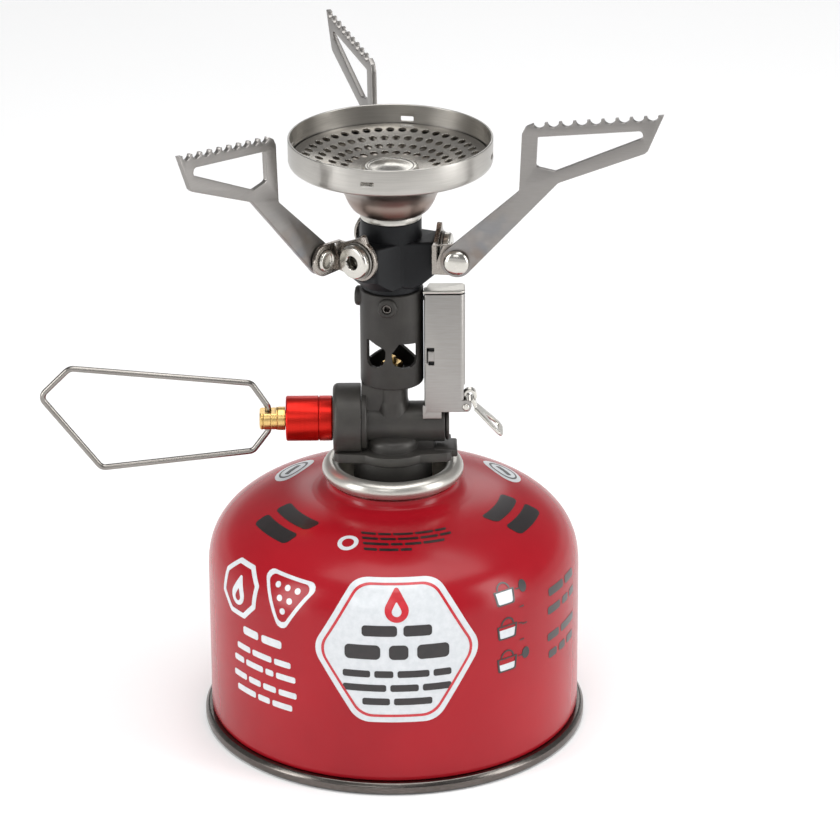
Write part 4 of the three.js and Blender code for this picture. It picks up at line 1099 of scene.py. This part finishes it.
def left_panel():
    corners = [math.radians(22.5 + 45 * k) for k in range(8)]
    octagon = rounded([(7.3 * math.cos(a), 7.2 * math.sin(a)) for a in corners], 0.8)
    walked = down_to(z=40.2)
    print_on_skin("left_octagon", [ring_of(octagon, 1.25), (droplet(0, -0.2, 3.9), [droplet(0, -1.4, 1.6)])],
                  -145.8, walked, "white_ink")
    triangle = rounded([(-8.2, 5.4), (8.2, 5.4), (0, -9.2)], 1.8, steps=6)
    dots = [(ellipse(x, y, 0.75, 0.75, 20), []) for x, y in (
        (-2.8, 2.4), (0, 2.4), (2.8, 2.4), (-1.4, -0.4), (1.4, -0.4), (0, -3.2))]
    print_on_skin("left_triangle", [ring_of(triangle, 0.9)] + dots, -125.8, down_to(z=42.4), "white_ink", turn=-3)
    rows = bar_row(0, 0, 12.5, 2.0, 2)
    for y, width, pieces in ((-4.6, 17.5, 3), (-8.0, 20, 4), (-12.0, 20.5, 4), (-15.4, 18, 3)):
        rows += bar_row(0, y, width, 1.5, pieces)
    print_on_skin("left_rows", rows, -134.6, down_to(z=30.7), "white_ink")


def right_panel():
    for number, (z, fill) in enumerate(((42.6, 1.0), (34.4, 0.7), (26.2, 0.55))):
        walked = down_to(z=z)
        body = rounded([(-2.5, -2.4), (2.5, -2.4), (2.9, 1.1), (-2.9, 1.1)], {0: 0.6, 1: 0.6, None: 0.15})
        level = -2.4 + 3.5 * fill
        content = rounded([(-2.4, -2.3), (2.4, -2.3), (2.6, level), (-2.6, level)], {0: 0.5, 1: 0.5, None: 0.1})
        print_on_skin(f"gauge_{number}_fill", [(content, [])], -53.6, walked, "white_ink")
        handle = arc(0, 1.1, 1.9, 5, 175, 14) + arc(0, 1.1, 1.5, 175, 5, 14)
        marks = [ring_of(body, 0.32), (handle, [])]
        marks.append((stroke(5.2, 0, 1.6, 0.3) if number == 1 else ellipse(5.6, 0.6, 1.15, 1.45, 24), []))
        marks.append((stroke(3.9, 0.4, 1.2, 0.28), []))
        if number < 2:
            marks.append((stroke(4.4, -3.9, 1.3, 0.3), []))
        print_on_skin(f"gauge_{number}_marks", marks, -53.6, walked, "black_ink", level=1)
    rows = []
    for y, width, pieces in ((0, 13.5, 2), (-4.5, 14.5, 3), (-11.3, 14.5, 2), (-15.8, 13.5, 3)):
        rows += bar_row(0, y, width, 2.0, pieces)
    print_on_skin("right_rows", rows, -26, down_to(z=38.6), "black_ink")


def dome_marks():
    print_on_skin("dome_ring", [ring_of(ellipse(0, 0, 2.4, 2.6, 32), 1.0)], -111, down_to(radius=29), "white_ink")
    rows = []
    for y, width, pieces in ((3.3, 20, 5), (1.4, 21, 5), (-0.5, 19, 4), (-2.4, 11, 3)):
        rows += bar_row(width / 2 - 10.5, y, width, 0.85, pieces)
    print_on_skin("dome_rows", rows, -83, down_to(radius=28), "black_ink")
    pair = [(stroke(0, 3.0, 14, 4.0), []), (stroke(0, -3.0, 14, 4.0), [])]
    for name, azimuth, radius in (("dome_mark_left", -148.5, 29.5), ("dome_mark_right", -21, 30)):
        print_on_skin(name, pair, azimuth, down_to(radius=radius), "black_ink")
    oval = ellipse(0, 0, 7.2, 3.2, 48)
    lines = [ring_of(inset(oval, 0.8), 0.35), (stroke(0, 0, 6, 1.1), [])]
    for name, azimuth, radius in (("dome_oval_left", 150, 27.5), ("dome_oval_right", 27, 29.5)):
        walked = down_to(radius=radius)
        print_on_skin(name, [(oval, [])], azimuth, walked, "white_ink")
        print_on_skin(name + "_line", lines, azimuth, walked, "black_ink", level=1)


badge()
left_panel()
right_panel()
dome_marks()


# ---------- floor, light and camera

FLOOR_Z = -0.003  # metres: the foot of the canister's seam
EYE = Vector((0, -0.90401, 0.4541))
AIM = Vector((0.00637, 0, 0.07151))
ROLL = math.radians(-0.288)
LENS, SENSOR = 181.3, 36  # mm


def floor():
    mesh = bpy.data.meshes.new("floor")
    work = bmesh.new()
    bmesh.ops.create_circle(work, cap_ends=True, segments=96, radius=6)
    work.to_mesh(mesh)
    work.free()
    obj = new_object("floor", mesh)
    obj.location = (0, 0, FLOOR_Z)
    m = Nodes("floor")
    tone = m.ramp(m.noise(3.0, 2.0), [(0.3, 0.86), (0.7, 0.88)])
    m.link(tone, m.shader.inputs["Base Color"])
    m.shader.inputs["Roughness"].default_value = 0.75
    m.shader.inputs["Emission Color"].default_value = (1, 1, 1, 1)
    m.shader.inputs["Emission Strength"].default_value = 0.14
    mesh.materials.append(m.material)


def area(name, place_at, aim, width, height, power):
    light = bpy.data.lights.new(name, "AREA")
    light.shape = "RECTANGLE"
    light.size = width
    light.size_y = height
    light.energy = power
    obj = new_object(name, light)
    obj.location = place_at
    obj.rotation_euler = (Vector(aim) - Vector(place_at)).to_track_quat("-Z", "Y").to_euler()


def studio():
    world = bpy.data.worlds.new("studio")
    world.use_nodes = True
    tree = world.node_tree
    tree.nodes.clear()
    coords = tree.nodes.new("ShaderNodeTexCoord")
    split = tree.nodes.new("ShaderNodeSeparateXYZ")
    ramp = tree.nodes.new("ShaderNodeValToRGB")
    for element, (place_at, grey) in zip(ramp.color_ramp.elements, ((0.06, 0.95), (0.2, 0.26))):
        element.position = place_at
        element.color = (grey, grey, grey * 1.01, 1)
    background = tree.nodes.new("ShaderNodeBackground")
    background.inputs["Strength"].default_value = 1.0
    out = tree.nodes.new("ShaderNodeOutputWorld")
    tree.links.new(coords.outputs["Generated"], split.inputs[0])
    tree.links.new(split.outputs["Z"], ramp.inputs[0])
    tree.links.new(ramp.outputs[0], background.inputs["Color"])
    tree.links.new(background.outputs[0], out.inputs["Surface"])
    bpy.context.scene.world = world
    area("top", (0.1, -0.1, 1.2), (0, 0, 0.05), 1.2, 1.0, 12)
    area("left_strip", (-0.95, -0.45, 0.35), (0, 0, 0.06), 0.3, 0.9, 6)
    area("right_strip", (0.95, -0.35, 0.35), (0, 0, 0.06), 0.35, 0.9, 6)
    area("front", (-0.35, -1.3, 0.9), (0, 0, 0.08), 0.7, 0.5, 2.5)
    area("back_low", (0.05, 1.5, 0.66), (0, 0, 0.1), 0.55, 0.35, 1.2)


def camera():
    forward = (AIM - EYE).normalized()
    right = forward.cross(Vector((0, 0, 1))).normalized()
    up = right.cross(forward)
    right, up = (right * math.cos(ROLL) + up * math.sin(ROLL), up * math.cos(ROLL) - right * math.sin(ROLL))
    lens = bpy.data.cameras.new("camera")
    lens.sensor_width = SENSOR
    lens.lens = LENS
    lens.clip_start = 0.01
    lens.clip_end = 50
    obj = new_object("camera", lens)
    obj.matrix_world = Matrix.Translation(EYE) @ Matrix((right, up, -forward)).transposed().to_4x4()
    bpy.context.scene.camera = obj


floor()
studio()
camera()
scene = bpy.context.scene
scene.view_settings.view_transform = "Standard"
scene.view_settings.look = "None"
scene.view_settings.exposure = 0.0
scene.view_settings.gamma = 1.0
